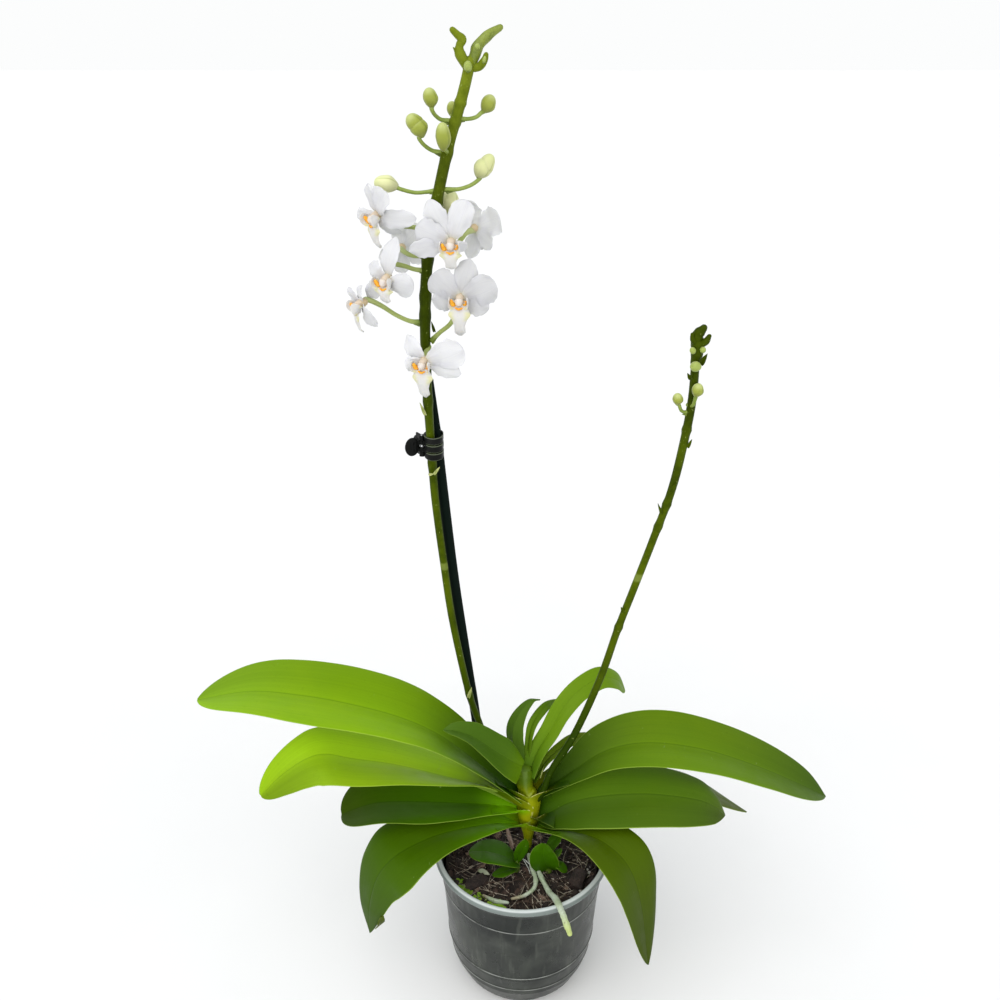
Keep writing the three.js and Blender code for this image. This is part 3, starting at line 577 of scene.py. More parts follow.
def leaf_group():
    """Leaf skin: tone along the blade, with painted light and shade near the stem and on one half, lengthwise
    veins, a dark midrib line and a pale edge painted as a highlight.
    """
    inputs = {
        "Body": (0.1, 0.2, 0.01), "Base": (0.06, 0.12, 0.0), "Tip": (0.1, 0.2, 0.03),
        "Under": (0.12, 0.2, 0.05), "Vein": 0.2, "Blotch": 0.2, "Rib": 0.5, "Roughness": 0.36,
        "Base Reach": 0.34, "Halves": 0.0,
    }
    tree, wires, given, result = new_group("Leaf Skin", inputs, ["Color", "Roughness", "Height"])
    place = wires.object_place()
    u, v = wires.surface_place()
    side = wires.mark()
    offset = wires.distance(u, 0.5)
    # The tone near the stem holds painted shade of the leaves above on some leaves, and painted light on
    # others.
    tone = wires.blend(wires.step(v, 0.0, given["Base Reach"]), given["Base"], given["Body"])
    tone = wires.blend(wires.step(v, 0.55, 1.0), tone, given["Tip"])
    # Painted light: one half of the blade is made lighter than the other, as if it were turned to the light.
    lean = wires.times(wires.step(u, 0.25, 0.75, -1.0, 1.0), given["Halves"])
    lighter = {"Vector": tone, "Scale": wires.plus(lean, 1.0)}
    tone = wires.add("ShaderNodeVectorMath", lighter, operation="SCALE").outputs[0]
    veins = wires.noise(wires.joined(wires.times(u, 26.0), v), 1.6, 3.0, 0.5)
    tone = wires.tint(wires.times(wires.step(veins, 0.3, 0.75), given["Vein"]), tone, (0.72, 0.78, 0.6))
    blotch = wires.times(wires.speckle(26.0, 4.0, 0.4, 0.75), given["Blotch"])
    tone = wires.tint(blotch, tone, (1.25, 1.12, 0.7))
    scratches = wires.noise(wires.stretch(place, (1.0, 0.25, 1.0)), 210.0, 3.0, 0.7)
    tone = wires.blend(wires.times(wires.step(scratches, 0.69, 0.76), 0.3), tone, (0.32, 0.42, 0.16))
    tone = wires.blend(wires.times(wires.speckle(520.0, 2.0, 0.62, 0.75), 0.12), tone, (0.02, 0.05, 0.0))
    line = wires.times(wires.step(offset, 0.003, 0.013, 1.0, 0.0), given["Rib"])
    tone = wires.tint(wires.times(line, side), tone, (0.35, 0.45, 0.3))
    glow = wires.times(wires.step(offset, 0.02, 0.09, 0.25, 0.0), given["Rib"])
    tone = wires.tint(glow, tone, (1.25, 1.2, 1.0))
    tone = wires.blend(wires.step(side, 0.75, 0.25), tone, given["Under"])
    # A pale line along the edge: a painted highlight on the rim of the blade.
    tone = wires.blend(wires.step(offset, 0.484, 0.498, 0.0, 0.55), tone, (0.3, 0.42, 0.06))
    wires.feed(result["Color"], tone)
    patchy = wires.speckle(90.0, 3.0, 0.3, 0.7, -0.05, 0.08)
    wires.feed(result["Roughness"], wires.plus(given["Roughness"], patchy))
    dent = wires.times(wires.step(offset, 0.0, 0.035), 0.8)
    fine = wires.times(wires.noise(place, 900.0, 2.0), 0.08)
    wires.feed(result["Height"], wires.plus(wires.plus(wires.times(veins, 0.5), dent), fine))
    return tree


def petal_group():
    """Petal tissue: a clean body, tinted towards its base and tip, with fine veins."""
    inputs = {
        "Body": (0.86, 0.86, 0.87), "Base": (0.8, 0.82, 0.6), "Tip": (0.86, 0.86, 0.87),
        "Base Reach": 0.25, "Tip Start": 0.8, "Vein": 0.3,
    }
    tree, wires, given, result = new_group("Petal Tissue", inputs, ["Color", "Roughness", "Height"])
    u, v = wires.surface_place()
    tone = wires.blend(wires.step(v, 0.0, given["Base Reach"]), given["Base"], given["Body"])
    tone = wires.blend(wires.step(v, given["Tip Start"], 1.0), tone, given["Tip"])
    veins = wires.noise(wires.joined(wires.times(u, 20.0), v), 1.4, 2.0, 0.5)
    tone = wires.tint(wires.times(wires.step(veins, 0.45, 0.7), given["Vein"]), tone, (0.88, 0.87, 0.93))
    wires.feed(result["Color"], tone)
    wires.feed(result["Roughness"], wires.speckle(400.0, 2.0, 0.3, 0.7, 0.42, 0.58))
    cells = wires.times(wires.noise(wires.object_place(), 1500.0, 2.0), 0.25)
    wires.feed(result["Height"], wires.plus(veins, cells))
    return tree


def pits_group():
    """Fine moulding texture for plastic, with scattered dust."""
    inputs = {"Scale": 700.0, "Dust": 0.1, "Roughness": 0.4}
    tree, wires, given, result = new_group("Moulded Surface", inputs, ["Dust", "Roughness", "Height"])
    smears = wires.noise(wires.object_place(), 55.0, 4.0)
    wires.feed(result["Dust"], wires.times(wires.step(smears, 0.5, 0.8), given["Dust"]))
    wires.feed(result["Roughness"], wires.plus(given["Roughness"], wires.step(smears, 0.3, 0.8, -0.06, 0.14)))
    wires.feed(result["Height"], wires.noise(wires.object_place(), given["Scale"], 3.0))
    return tree


@functools.cache
def shared_group(name):
    """The shared node group of that name, built the first time it is asked for."""
    makers = {
        "mottle": mottle_group, "grain": grain_group, "leaf": leaf_group, "petal": petal_group,
        "pits": pits_group,
    }
    return makers[name]()


class Finish(Wires):
    """A material with a Principled surface, and the wires that lead into it."""

    def __init__(self, name):
        self.material = bpy.data.materials.new(name)
        self.material.use_nodes = True
        super().__init__(self.material.node_tree)
        self.tree.nodes.clear()
        self.surface = self.add("ShaderNodeBsdfPrincipled")
        self.feed(self.add("ShaderNodeOutputMaterial").inputs["Surface"], self.surface.outputs[0])

    def done(self, tone, roughness, height, bump, strength=0.5, more=None):
        """Leads colour, roughness, bump in millimetres and more inputs to the surface. Gives the material."""
        inputs = {"Height": height, "Distance": bump * MM, "Strength": strength}
        bumped = self.add("ShaderNodeBump", inputs).outputs[0]
        values = {"Base Color": tone, "Roughness": roughness, "Normal": bumped, **(more or {})}
        for label, value in values.items():
            self.feed(self.surface.inputs[label], value)
        return self.material


def leaf_material(name, tones, rib=0.4, foot=False, reach=0.34, halves=0.0):
    """Skin of a leaf. With a foot, what clasps the stem turns yellow-green with pale broken edges."""
    body, base, tip, under = tones
    wires = Finish(name)
    # reach and halves set the painted shade near the stem and the painted light on one half of the blade.
    made = wires.shared(
        "leaf", body=body, base=base, tip=tip, under=under, vein=0.35, blotch=0.4, rib=rib, roughness=0.43,
        base_reach=reach, halves=halves,
    )
    tone = made["Color"]
    if foot:
        u, v = wires.surface_place()
        cloud = wires.noise(wires.object_place(), 90.0)
        yellow = wires.blend(cloud, (0.15, 0.2, 0.001), (0.32, 0.33, 0.004))
        tone = wires.blend(wires.step(v, -0.5, 0.03, 1.0, 0.0), tone, yellow)
        edge = wires.step(wires.distance(u, 0.5), 0.48, 0.492)
        line = wires.times(edge, wires.speckle(260.0, 3.0, 0.45, 0.6))
        line = wires.times(line, wires.step(v, -0.15, 0.0, 1.0, 0.0))
        tone = wires.blend(line, tone, SHEATH_EDGE)
    more = {
        "Coat Weight": bpy.context.scene.orchid_leaf.gloss, "Coat Roughness": 0.35,
        "IOR": 1.28, "Specular IOR Level": 0.4, "Specular Tint": (0.75, 1.0, 0.3),
    }
    return wires.done(tone, made["Roughness"], made["Height"], 0.35, more=more)


def petal_material(name, body, base, tip, reach, tip_start, vein, soft=0.2, seams=False):
    """Petal tissue. With seams, the fine lines where a bud's sepals meet are drawn darker."""
    wires = Finish(name)
    made = wires.shared(
        "petal", body=body, base=base, tip=tip, base_reach=reach, tip_start=tip_start, vein=vein
    )
    tone = made["Color"]
    if seams:
        tone = wires.tint(wires.step(wires.mark(), 0.25, 0.9, 0.0, 0.7), tone, (0.6, 0.66, 0.4))
    more = {
        "Subsurface Weight": soft, "Subsurface Radius": (0.002, 0.002, 0.0015), "Subsurface Scale": 1.0,
        "Sheen Weight": 0.15,
    }
    return wires.done(tone, made["Roughness"], made["Height"], 0.2, 0.4, more)


def mottled_material(name, light, dark, scale, fleck, roughness, bump, grain=0.0):
    """A matt or waxy natural surface in two mottled tones, with long grain on bark and twigs."""
    wires = Finish(name)
    made = wires.shared("mottle", light=light, dark=dark, scale=scale, fleck=fleck)
    tone, height = made["Color"], made["Mask"]
    if grain:
        lines = wires.shared("grain", scale=26.0, length=0.12, depth=1.0)
        tone = wires.blend(wires.times(lines["Mask"], grain), tone, dark)
        height = wires.plus(height, lines["Height"])
    patchy = wires.step(made["Mask"], 0.0, 1.0, roughness - 0.08, roughness + 0.1)
    return wires.done(tone, patchy, height, bump)


# Natural surfaces: light tone, dark tone, scale of the blotches, strength of the finer flecks,
# roughness, bump in millimetres and, for a twig, strength of the long grain.
NATURAL = {
    "bark_brown": ((0.055, 0.027, 0.016), (0.015, 0.009, 0.006), 260.0, 0.9, 0.78, 0.6),
    "bark_pale": ((0.24, 0.16, 0.11), (0.05, 0.03, 0.02), 260.0, 0.9, 0.78, 0.6),
    "bark_chunk": ((0.034, 0.018, 0.012), (0.012, 0.007, 0.005), 170.0, 0.9, 0.7, 0.9),
    "coir_dark": ((0.06, 0.032, 0.018), (0.024, 0.0128, 0.0072), 300.0, 0.7, 0.75, 0.1),
    "coir_straw": ((0.5, 0.43, 0.33), (0.2, 0.172, 0.132), 300.0, 0.7, 0.75, 0.1),
    "perlite": ((0.62, 0.6, 0.55), (0.3, 0.27, 0.22), 500.0, 0.8, 0.8, 0.4),
    "offset_stem_skin": ((0.13, 0.22, 0.02), (0.06, 0.1, 0.01), 200.0, 0.4, 0.4, 0.3),
    "fork_tip_skin": ((0.2, 0.25, 0.02), (0.1, 0.14, 0.003), 160.0, 0.3, 0.5, 0.15),
    "dry_scale_skin": ((0.42, 0.44, 0.16), (0.18, 0.22, 0.04), 260.0, 0.4, 0.6, 0.2),
    "bract_skin": ((0.13, 0.18, 0.01), (0.06, 0.09, 0.004), 200.0, 0.5, 0.5, 0.2),
    "bud_stalk_skin": ((0.24, 0.31, 0.05), (0.16, 0.23, 0.02), 120.0, 0.3, 0.45, 0.15),
    "bud_bract_skin": ((0.15, 0.21, 0.015), (0.07, 0.1, 0.004), 200.0, 0.5, 0.5, 0.2),
    "fine_root_skin": ((0.7, 0.74, 0.72), (0.45, 0.48, 0.42), 500.0, 0.4, 0.6, 0.1),
    "dry_twig_skin": ((0.5, 0.38, 0.33), (0.26, 0.17, 0.13), 220.0, 0.6, 0.75, 0.5, 0.5),
}
# Soft tissue: tones of the body, the base and the tip, how far the base reaches, where the tip starts
# and how strong the veins are.
TISSUE = {
    "column_skin": ((0.58, 0.48, 0.37), (0.54, 0.42, 0.25), (0.64, 0.58, 0.53), 0.5, 0.7, 0.3),
    "stalk_skin": ((0.3, 0.36, 0.09), (0.42, 0.46, 0.2), (0.12, 0.18, 0.004), 0.5, 0.8, 0.2),
    "tip_bud_skin": ((0.28, 0.35, 0.06), (0.09, 0.14, 0.004), (0.34, 0.4, 0.1), 0.4, 0.9, 0.4),
}
SHEATH_EDGE = (0.6, 0.6, 0.2)


def natural(name):
    return mottled_material(name, *NATURAL[name])


def tissue(name):
    return petal_material(name, *TISSUE[name])


def moulded_material(name, body, roughness, dust, more, scale=900.0, dusty=(0.3, 0.3, 0.27), bump=0.08,
                     edge_highlight=False):
    """Moulded plastic or drawn wire. When asked, a painted highlight runs as a light line along the edges of
    the clip's fingers.
    """
    wires = Finish(name)
    made = wires.shared("pits", scale=scale, dust=dust, roughness=roughness)
    tone = wires.blend(made["Dust"], body, dusty)
    if edge_highlight:
        # A painted highlight: a light line along both edges of the outer face of each finger.
        off = wires.distance(wires.surface_place()[0], BAND_MIDDLE)
        line = wires.times(wires.step(off, 0.055, 0.07), wires.step(off, 0.17, 0.19, 1.0, 0.0))
        line = wires.times(line, wires.step(wires.mark(), 0.3, 0.7, 0.6, 0.0))
        tone = wires.blend(line, tone, (0.16, 0.19, 0.12))
    return wires.done(tone, made["Roughness"], made["Height"], bump, more=more)


# ------------------------------------------------------------------ pot


POT_SIDE = [(38.5, 1.5), (43.5, 8.0), (48.5, 20.0), (51.5, 36.0), (54.0, 75.0), (56.0, 100.0)]
POT_RIBS = [(25.5, 1.0), (39.0, 1.0), (85.0, 0.8)]
POT_FLOOR = 2.0
RIM_DROP = 8.0
LIP_RISE = 2.0
FLUTES = 56
DRAIN = {"radius": 3.5, "circle": 26.0, "count": 5, "start": 0.3}


def pot_radius(z):
    """Outer radius of the pot's wall at a height, without its hoops."""
    for (r0, z0), (r1, z1) in zip(POT_SIDE, POT_SIDE[1:]):
        if z <= z1:
            return lerp(r0, r1, (z - z0) / (z1 - z0))
    return POT_SIDE[-1][0]


def pot_profile(wall, rib_height):
    """The pot's section as (radius, height), from the middle of its underside to that of its floor."""
    height, rim, top = POT_HIGH.z, POT_HIGH.x, POT_HIGH.z + LIP_RISE
    foot = POT_SIDE[0][0]
    profile = [(0.0, 0.0), (14.0, 0.0), (32.0, 0.0), (foot - 1.5, 0.0), (foot - 0.4, 0.4)]
    count = 190
    shoulder = height - RIM_DROP
    for i in range(count + 1):
        z = lerp(1.5, shoulder, i / count)
        ribs = sum(share * bell(z - at, 0.55) for at, share in POT_RIBS)
        profile.append((pot_radius(z) + rib_height * ribs, z))
    profile += [(rim - 2.9, top - 4.5), (rim - 1.2, top - 4.1), (rim - 0.3, top - 3.6), (rim, top - 2.9)]
    profile += [(rim, top - 2.1), (rim - 0.4, top - 1.0), (rim - 1.3, top - 0.2), (rim - 2.4, top)]
    profile += [(rim - 3.4, top - 0.3), (rim - 4.1, top - 1.1), (rim - 4.5, top - 2.4)]
    inner = 40
    for i in range(inner + 1):
        z = lerp(shoulder, POT_FLOOR + 2.0, i / inner)
        profile.append((pot_radius(z) - wall, z))
    profile += [(foot - wall - 0.6, POT_FLOOR + 0.4), (foot - wall - 2.0, POT_FLOOR)]
    profile += [(32.0, POT_FLOOR), (14.0, POT_FLOOR), (0.0, POT_FLOOR)]
    return profile


def fluted(r, z, angle):
    """Shallow upright flutes in the band under the rim, on the outside only."""
    band = bell(z - 93.0, 5.5)
    if r < pot_radius(z) - 0.5 or z > POT_HIGH.z - RIM_DROP:
        return r
    return r - 0.22 * band * (0.5 - 0.5 * math.cos(FLUTES * angle))


def pot_material():
    """Milky clear plastic, wet in places, with the dark bed showing through and painted highlights on the rim
    and hoops.
    """
    wires = Finish("frosted_pot")
    place = wires.object_place()
    made = wires.shared("pits", scale=500.0, dust=0.15, roughness=0.3)
    streaks = wires.step(wires.noise(wires.stretch(place, (1.0, 1.0, 0.28)), 75.0, 4.0), 0.35, 0.7)
    upright = wires.stretch(place, (1.0, 1.0, 0.12))
    wisps = wires.step(wires.noise(upright, 240.0, 3.0), 0.56, 0.72, 0.0, 0.22)
    cloud = wires.speckle(30.0, 4.0, 0.3, 0.7)
    murky = wires.speckle(22.0, 3.0, 0.48, 0.66, 0.0, 0.8)
    milky = bpy.context.scene.orchid_pot.plastic
    tone = wires.blend(wires.times(streaks, 0.5), milky, (0.055, 0.062, 0.05))
    tone = wires.blend(made["Dust"], tone, (0.25, 0.26, 0.24))
    tone = wires.blend(murky, tone, (0.006, 0.008, 0.007))
    tone = wires.blend(wisps, tone, (0.12, 0.13, 0.11))
    height = wires.height()
    rim = wires.step(height, 0.1053, 0.1059)
    tone = wires.blend(rim, tone, (0.17, 0.2, 0.19))
    # Two pale lines along the rolled rim, at its top and under it: painted highlights.
    lower_rim_highlight = wires.times(rim, wires.step(height, 0.106, 0.1067, 1.0, 0.0))
    lines = wires.plus(wires.step(height, 0.1091, 0.1098), lower_rim_highlight)
    tone = wires.blend(lines, tone, (0.56, 0.6, 0.59))
    # Pale broken lines along the hoops: painted highlights where the hoops catch the light.
    hoop_highlights = 0.0
    for at, _ in POT_RIBS:
        near = wires.step(wires.distance(height, at * MM), 0.0001, 0.0006, 1.0, 0.0)
        hoop_highlights = wires.plus(hoop_highlights, near)
    hoop_highlights = wires.times(hoop_highlights, wires.speckle(60.0, 3.0, 0.35, 0.6, 0.15, 0.45))
    tone = wires.blend(hoop_highlights, tone, (0.6, 0.62, 0.58))
    misty = wires.plus(wires.times(cloud, 0.03), 0.97)
    misty = wires.math("SUBTRACT", misty, wires.times(streaks, 0.03))
    more = {"Alpha": wires.blend(rim, misty, (0.95, 0.95, 0.95)), "Specular IOR Level": 0.22}
    return wires.done(tone, made["Roughness"], cloud, 0.3, more=more)


def cut_holes(piece, cutters):
    """Cuts closed shapes out of a piece for good."""
    for cutter in cutters:
        cut = piece.modifiers.new("hole", "BOOLEAN")
        cut.operation = "DIFFERENCE"
        cut.solver = "EXACT"
        cut.object = cutter
    graph = bpy.context.evaluated_depsgraph_get()
    mesh = bpy.data.meshes.new_from_object(piece.evaluated_get(graph))
    piece.modifiers.clear()
    old = piece.data
    piece.data = mesh
    bpy.data.meshes.remove(old)
    for cutter in cutters:
        bpy.data.meshes.remove(cutter.data)


def plain_cylinder(radius, height, centre):
    """A closed cylinder used only for cutting."""
    shape = Shape()
    profile = [(0.0, -height / 2), (radius, -height / 2), (radius, height / 2), (0.0, height / 2)]
    add_turned(shape, profile, 28, centre)
    return make_object("cutter", shape)


class ORCHID_OT_pot(bpy.types.Operator):
    """Make the clear pot with its rolled rim, hoops, flutes and drain holes"""

    bl_idname = "orchid.pot"
    bl_label = "Pot"

    def execute(self, context):
        settings = context.scene.orchid_pot
        shape = Shape()
        profile = pot_profile(settings.wall / MM, settings.rib_height / MM)
        add_turned(shape, profile, FLUTES * 4, shift=fluted)
        pot = make_piece("pot_shell", shape, pot_material(), ["pot"])
        cutters = []
        for i in range(DRAIN["count"]):
            angle = FULL_TURN * i / DRAIN["count"] + DRAIN["start"]
            centre = (DRAIN["circle"] * math.cos(angle), DRAIN["circle"] * math.sin(angle))
            cutters.append(plain_cylinder(DRAIN["radius"], 4 * POT_FLOOR, centre))
        cut_holes(pot, cutters)
        return {"FINISHED"}


# ------------------------------------------------------------------ bed of bark


KEEP_CLEAR = [(STEM_X, STEM_Y, 9.5), (-21.0, 29.2, 4.0)]
NAMED_CHIPS = {
    "bark_chip_1": ((38, -22), (16, 9, 5), 65),
    "bark_chip_2": ((-30, -24), (15, 8, 4), 30),
    "bark_chip_3": ((-38, 14), (17, 10, 5), 100),
    "bark_chip_4": ((26, 30), (18, 11, 6), 15),
    "bark_chip_5": ((-4, 42), (15, 9, 5), -20),
}
SPRIG = dict(base=0.4, widest=0.5, blunt=0.8, round=2.0, roll=(0, 0), fold=(20, 10))


def bed_height(x, y):
    """Height of the bed's uneven top."""
    slow = noise.noise(Vector((x * 0.06, y * 0.06, 3.0)))
    fine = noise.noise(Vector((x * 0.25, y * 0.25, 9.0)))
    return BED_TOP - 1.2 + 1.2 * slow + 0.8 * fine


def scatter(rng, reach):
    """A random place on the bed, clear of the stem and the stake."""
    while True:
        x, y = rng.uniform(-reach, reach), rng.uniform(-reach, reach)
        if math.hypot(x, y) < reach and all(math.hypot(x - a, y - b) > r for a, b, r in KEEP_CLEAR):
            return x, y


def random_turn(rng, tilt):
    """A turn any way round, leaning by up to the tilt in degrees."""
    spin = Matrix.Rotation(rng.uniform(0, FULL_TURN), 3, "Z")
    lean = Matrix.Rotation(math.radians(rng.uniform(-tilt, tilt)), 3, "X")
    roll = Matrix.Rotation(math.radians(rng.uniform(-tilt, tilt)), 3, "Y")
    return spin @ lean @ roll


def bed_shape():
    """The body of the bed: an uneven top, and a side pressed against the pot's wall."""
    shape = Shape()
    segments, gap = 96, 2.3
    rings = []
    centre = shape.point((0.0, 0.0, bed_height(0.0, 0.0)))
    for r in (*range(4, 41, 4), 43, 46, 49, 51, 52.5):
        ring = []
        for share, _, cosine, sine in circle(segments):
            x, y = r * cosine, r * sine
            ring.append(shape.point((x, y, bed_height(x, y)), (share, 0.0)))
        rings.append(ring)
    levels = 45
    for i in range(levels + 1):
        z = lerp(BED_TOP - 3.0, POT_FLOOR + 0.6, i / levels)
        ring = []
        for share, _, cosine, sine in circle(segments):
            lump = noise.noise(Vector((cosine * 7, sine * 7, z * 0.14)))
            radius = pot_radius(z) - gap + 0.6 * lump
            ring.append(shape.point((radius * cosine, radius * sine, z), (share, 1.0)))
        rings.append(ring)
    shape.skin(rings)
    shape.fan(rings[0], centre)
    shape.faces.append(tuple(rings[-1]))
    return shape


class ORCHID_OT_bed(bpy.types.Operator):
    """Make the bed of bark, coir fibres, crumbs and moss that fills the pot"""

    bl_idname = "orchid.bed"
    bl_label = "Bark bed"

    def execute(self, context):
        settings = context.scene.orchid_bed
        rng = random.Random(settings.seed)
        bark = tuple(settings.bark)
        deep = tuple(0.35 * c for c in bark)
        soil = mottled_material("damp_bark", bark, deep, 60.0, 0.4, 0.85, 0.15)
        make_piece("bark_bed", bed_shape(), soil, ["substrate"])
        self.loose_chips(settings, rng, mottled_material("bark_dark", bark, deep, 260.0, 0.9, 0.78, 0.6))
        big = natural("bark_chunk")
        for index, (name, ((x, y), size, turn)) in enumerate(NAMED_CHIPS.items()):
            shape = Shape()
            spin = Matrix.Rotation(math.radians(turn), 3, "Z") @ Matrix.Rotation(math.radians(6), 3, "X")
            add_lump(shape, (x, y, BED_TOP + size[2] / 2 - 0.6), size, spin, 31.0 * index, 0.42, 0.5, 3)
            make_piece(f"{name}_block", shape, big, [name])
        self.fibres(settings, rng)
        self.crumbs(settings, rng)
        self.moss(rng)
        return {"FINISHED"}

    def loose_chips(self, settings, rng, dark):
        """Small bark chips in three tones, each with the share of chips up to it."""
        shares = {"dark": 0.55, "brown": 0.91, "pale": 1.0}
        shapes = {name: Shape() for name in shares}
        for i in range(settings.chips):
            x, y = scatter(rng, 51.0)
            size = rng.uniform(2.0, 8.5)
            block = (size, size * rng.uniform(0.35, 0.7), size * rng.uniform(0.2, 0.4))
            pick = rng.random()
            kind = next(name for name, share in shares.items() if pick <= share)
            add_lump(shapes[kind], (x, y, bed_height(x, y) + 0.6), block, random_turn(rng, 35), 7.0 * i, 0.5)
        for name, shape in shapes.items():
            finish = dark if name == "dark" else natural(f"bark_{name}")
            make_piece(f"chips_{name}", shape, finish)

    def fibres(self, settings, rng):
        """Thin coir fibres and straws, lying this way and that."""
        shapes = {"coir_dark": Shape(), "coir_straw": Shape()}
        for _ in range(settings.fibres):
            x, y = scatter(rng, 48.0)
            angle, length = rng.uniform(0, FULL_TURN), rng.uniform(6, 24)
            bend = rng.uniform(-0.35, 0.35)
            points = []
            for k in range(5):
                way = length * (k / 4 - 0.5)
                px = x + way * math.cos(angle + bend * k / 4)
                py = y + way * math.sin(angle + bend * k / 4)
                reach = math.hypot(px, py)
                if reach > 51.5:
                    px, py = px * 51.5 / reach, py * 51.5 / reach
                points.append((px, py, bed_height(px, py) + 1.1 + rng.uniform(0, 1.5)))
            kind, thinnest, thickest = "coir_dark", 0.16, 0.3
            if rng.random() > 0.62:
                kind, thinnest, thickest = "coir_straw", 0.1, 0.26
            thick = rng.uniform(thinnest, thickest)
            add_tube(shapes[kind], points, [thick, thick, thick * 0.6], 5, 9)
        for name, shape in shapes.items():
            make_piece(f"fibres_{name}", shape, natural(name))

    def crumbs(self, settings, rng):
        """White crumbs of perlite."""
        shape = Shape()
        spots = [(46.0, -15.0), (44.5, -17.0), (36.5, -28.8), (38.5, -30.0), (45.0, -12.5)]
        for i in range(settings.crumbs):
            x, y = spots[i] if i < len(spots) else scatter(rng, 50.0)
            size = rng.uniform(1.4, 3.0) if i < len(spots) else rng.uniform(0.5, 1.7)
            block = (size, size * 0.9, size * 0.8)
            add_lump(shape, (x, y, bed_height(x, y) + 1.4), block, random_turn(rng, 60), 3.0 * i, 0.6, 0.9)
        make_piece("perlite_crumbs", shape, natural("perlite"))

    def moss(self, rng):
        """Sprigs of moss along the front of the wall, and one pale dry leaflet."""
        shape = Shape()
        for _ in range(62):
            angle = math.radians(rng.uniform(205, 258))
            reach = rng.uniform(45.5, 51.0)
            x, y = reach * math.cos(angle), reach * math.sin(angle)
            way = rng.uniform(0, FULL_TURN)
            length = rng.uniform(2.4, 5.8)
            lean = Vector((math.cos(way), math.sin(way), rng.uniform(0.1, 0.6)))
            start = Vector((x, y, bed_height(x, y) + 0.6))
            midrib = [start, start + lean * length * 0.5 + UP * 0.4, start + lean * length]
            add_blade(shape, {**SPRIG, "midrib": midrib, "half": length * 0.36}, 0.25, 6, 4)
        make_piece("moss_sprigs", shape, leaf_material("moss_green", LEAF_TONES["moss_green"]))
        shape = Shape()
        midrib = [(-30, -14, BED_TOP + 1.6), (-27, -16, BED_TOP + 2.8), (-22, -18.5, BED_TOP + 2.2)]
        leaflet = {**SPRIG, "midrib": midrib, "half": 1.9, "base": 0.3, "roll": (10, 10)}
        add_blade(shape, leaflet, 0.4, 14, 6)
        dry = leaf_material("dry_leaflet", LEAF_TONES["dry_leaflet"])
        make_piece("pale_leaflet", shape, dry)


# ------------------------------------------------------------------ crown stem


SHEATHS = [(113, -20), (121, 215), (131, -40), (142, 190), (152, -25)]
# Radius of the stem, without its sheaths' edges, at each height.
STEM_GIRTH = [(98, 1.2), (108, 1.2), (118, 2.0), (126, 3.6), (134, 5.2), (141, 6.4), (150, 6.4), (157, 5.4),
              (162, 5.1), (169, 4.9), (174, 3.9), (190, 2.0)]
SHEATH_RISE = 6.0
STEM_LEAN = 2.8


def sheath_edge(height, azimuth, angle):
    """Height of a sheath's upper edge, which climbs towards its own leaf."""
    return height + SHEATH_RISE * math.cos(angle - math.radians(azimuth))


def stem_girth(z):
    """Radius of the stem at a height."""
    for (z0, r0), (z1, r1) in zip(STEM_GIRTH, STEM_GIRTH[1:]):
        if z <= z1:
            return lerp(r0, r1, max((z - z0) / (z1 - z0), 0.0))
    return STEM_GIRTH[-1][1]


class ORCHID_OT_crown(bpy.types.Operator):
    """Make the stem of overlapping leaf sheaths"""

    bl_idname = "orchid.crown"
    bl_label = "Crown stem"

    def execute(self, context):
        shape = Shape()
        low, high = STEM_LOW.z, STEM_HIGH.z - 6.0
        rings, sides, count = [], 72, 180
        for i in range(count + 1):
            z = lerp(low + 6, high, i / count)
            ring = []
            lean = STEM_LEAN * min(max((z - 148) / 12, 0.0), 1.0)
            for share, angle, cosine, sine in circle(sides):
                radius, edge = stem_girth(z), 0.0
                for height, azimuth in SHEATHS:
                    ragged = 0.9 * noise.noise(Vector((angle * 2.5, height, 0.0)))
                    over = sheath_edge(height, azimuth, angle) + ragged - z
                    toward = 0.5 + 0.5 * math.cos(angle - math.radians(azimuth))
                    if over > 0:
                        fade = bell(max(over - 1.0, 0.0), 11.0)
                        radius += (0.2 + 0.8 * toward) * min(over / 0.9, 1.0) * fade
                    edge = max(edge, bell(over - 0.3, 0.6) * (1.1 - 0.7 * toward))
                radius += 0.45 * noise.noise(Vector((cosine * 1.4, sine * 1.4, z * 0.09)))
                spot = (STEM_X - lean + radius * cosine, STEM_Y + radius * sine, z)
                ring.append(shape.point(spot, (share, i / count), min(edge, 1.0)))
            rings.append(ring)
        shape.skin(rings)
        shape.faces.append(tuple(rings[0]))
        shape.fan(rings[-1], shape.point((STEM_X - STEM_LEAN, STEM_Y, high + 1.5), (0.5, 1.0), 0.0))
        make_piece("stem_sheaths", shape, self.finish(), ["crown_stem"])
        return {"FINISHED"}

    def finish(self):
        """Wet yellow-green sheaths with thin pale edges, darker near the bark, and darker at the top with
        painted shade.
        """
        wires = Finish("sheath_skin")
        light, dark = (0.25, 0.29, 0.003), (0.14, 0.19, 0.001)
        made = wires.shared("mottle", light=light, dark=dark, scale=95.0, fleck=0.25)
        height = wires.height()
        tone = wires.blend(wires.step(height, 0.104, 0.12), (0.05, 0.085, 0.001), made["Color"])
        line = wires.times(wires.step(wires.mark(), 0.6, 0.95), wires.speckle(200.0, 3.0, 0.42, 0.6))
        tone = wires.blend(line, tone, SHEATH_EDGE)
        # Darker green at the top of the stem: partly its own green and partly painted shade under the leaves
        # above.
        tone = wires.blend(wires.step(height, 0.155, 0.168), tone, (0.07, 0.13, 0.002))
        roughness = wires.step(made["Mask"], 0.0, 1.0, 0.32, 0.48)
        more = {"Specular IOR Level": 0.3, "Coat Weight": 0.1, "Coat Roughness": 0.15}
        return wires.done(tone, roughness, made["Mask"], 0.4, more=more)


# ------------------------------------------------------------------ leaves


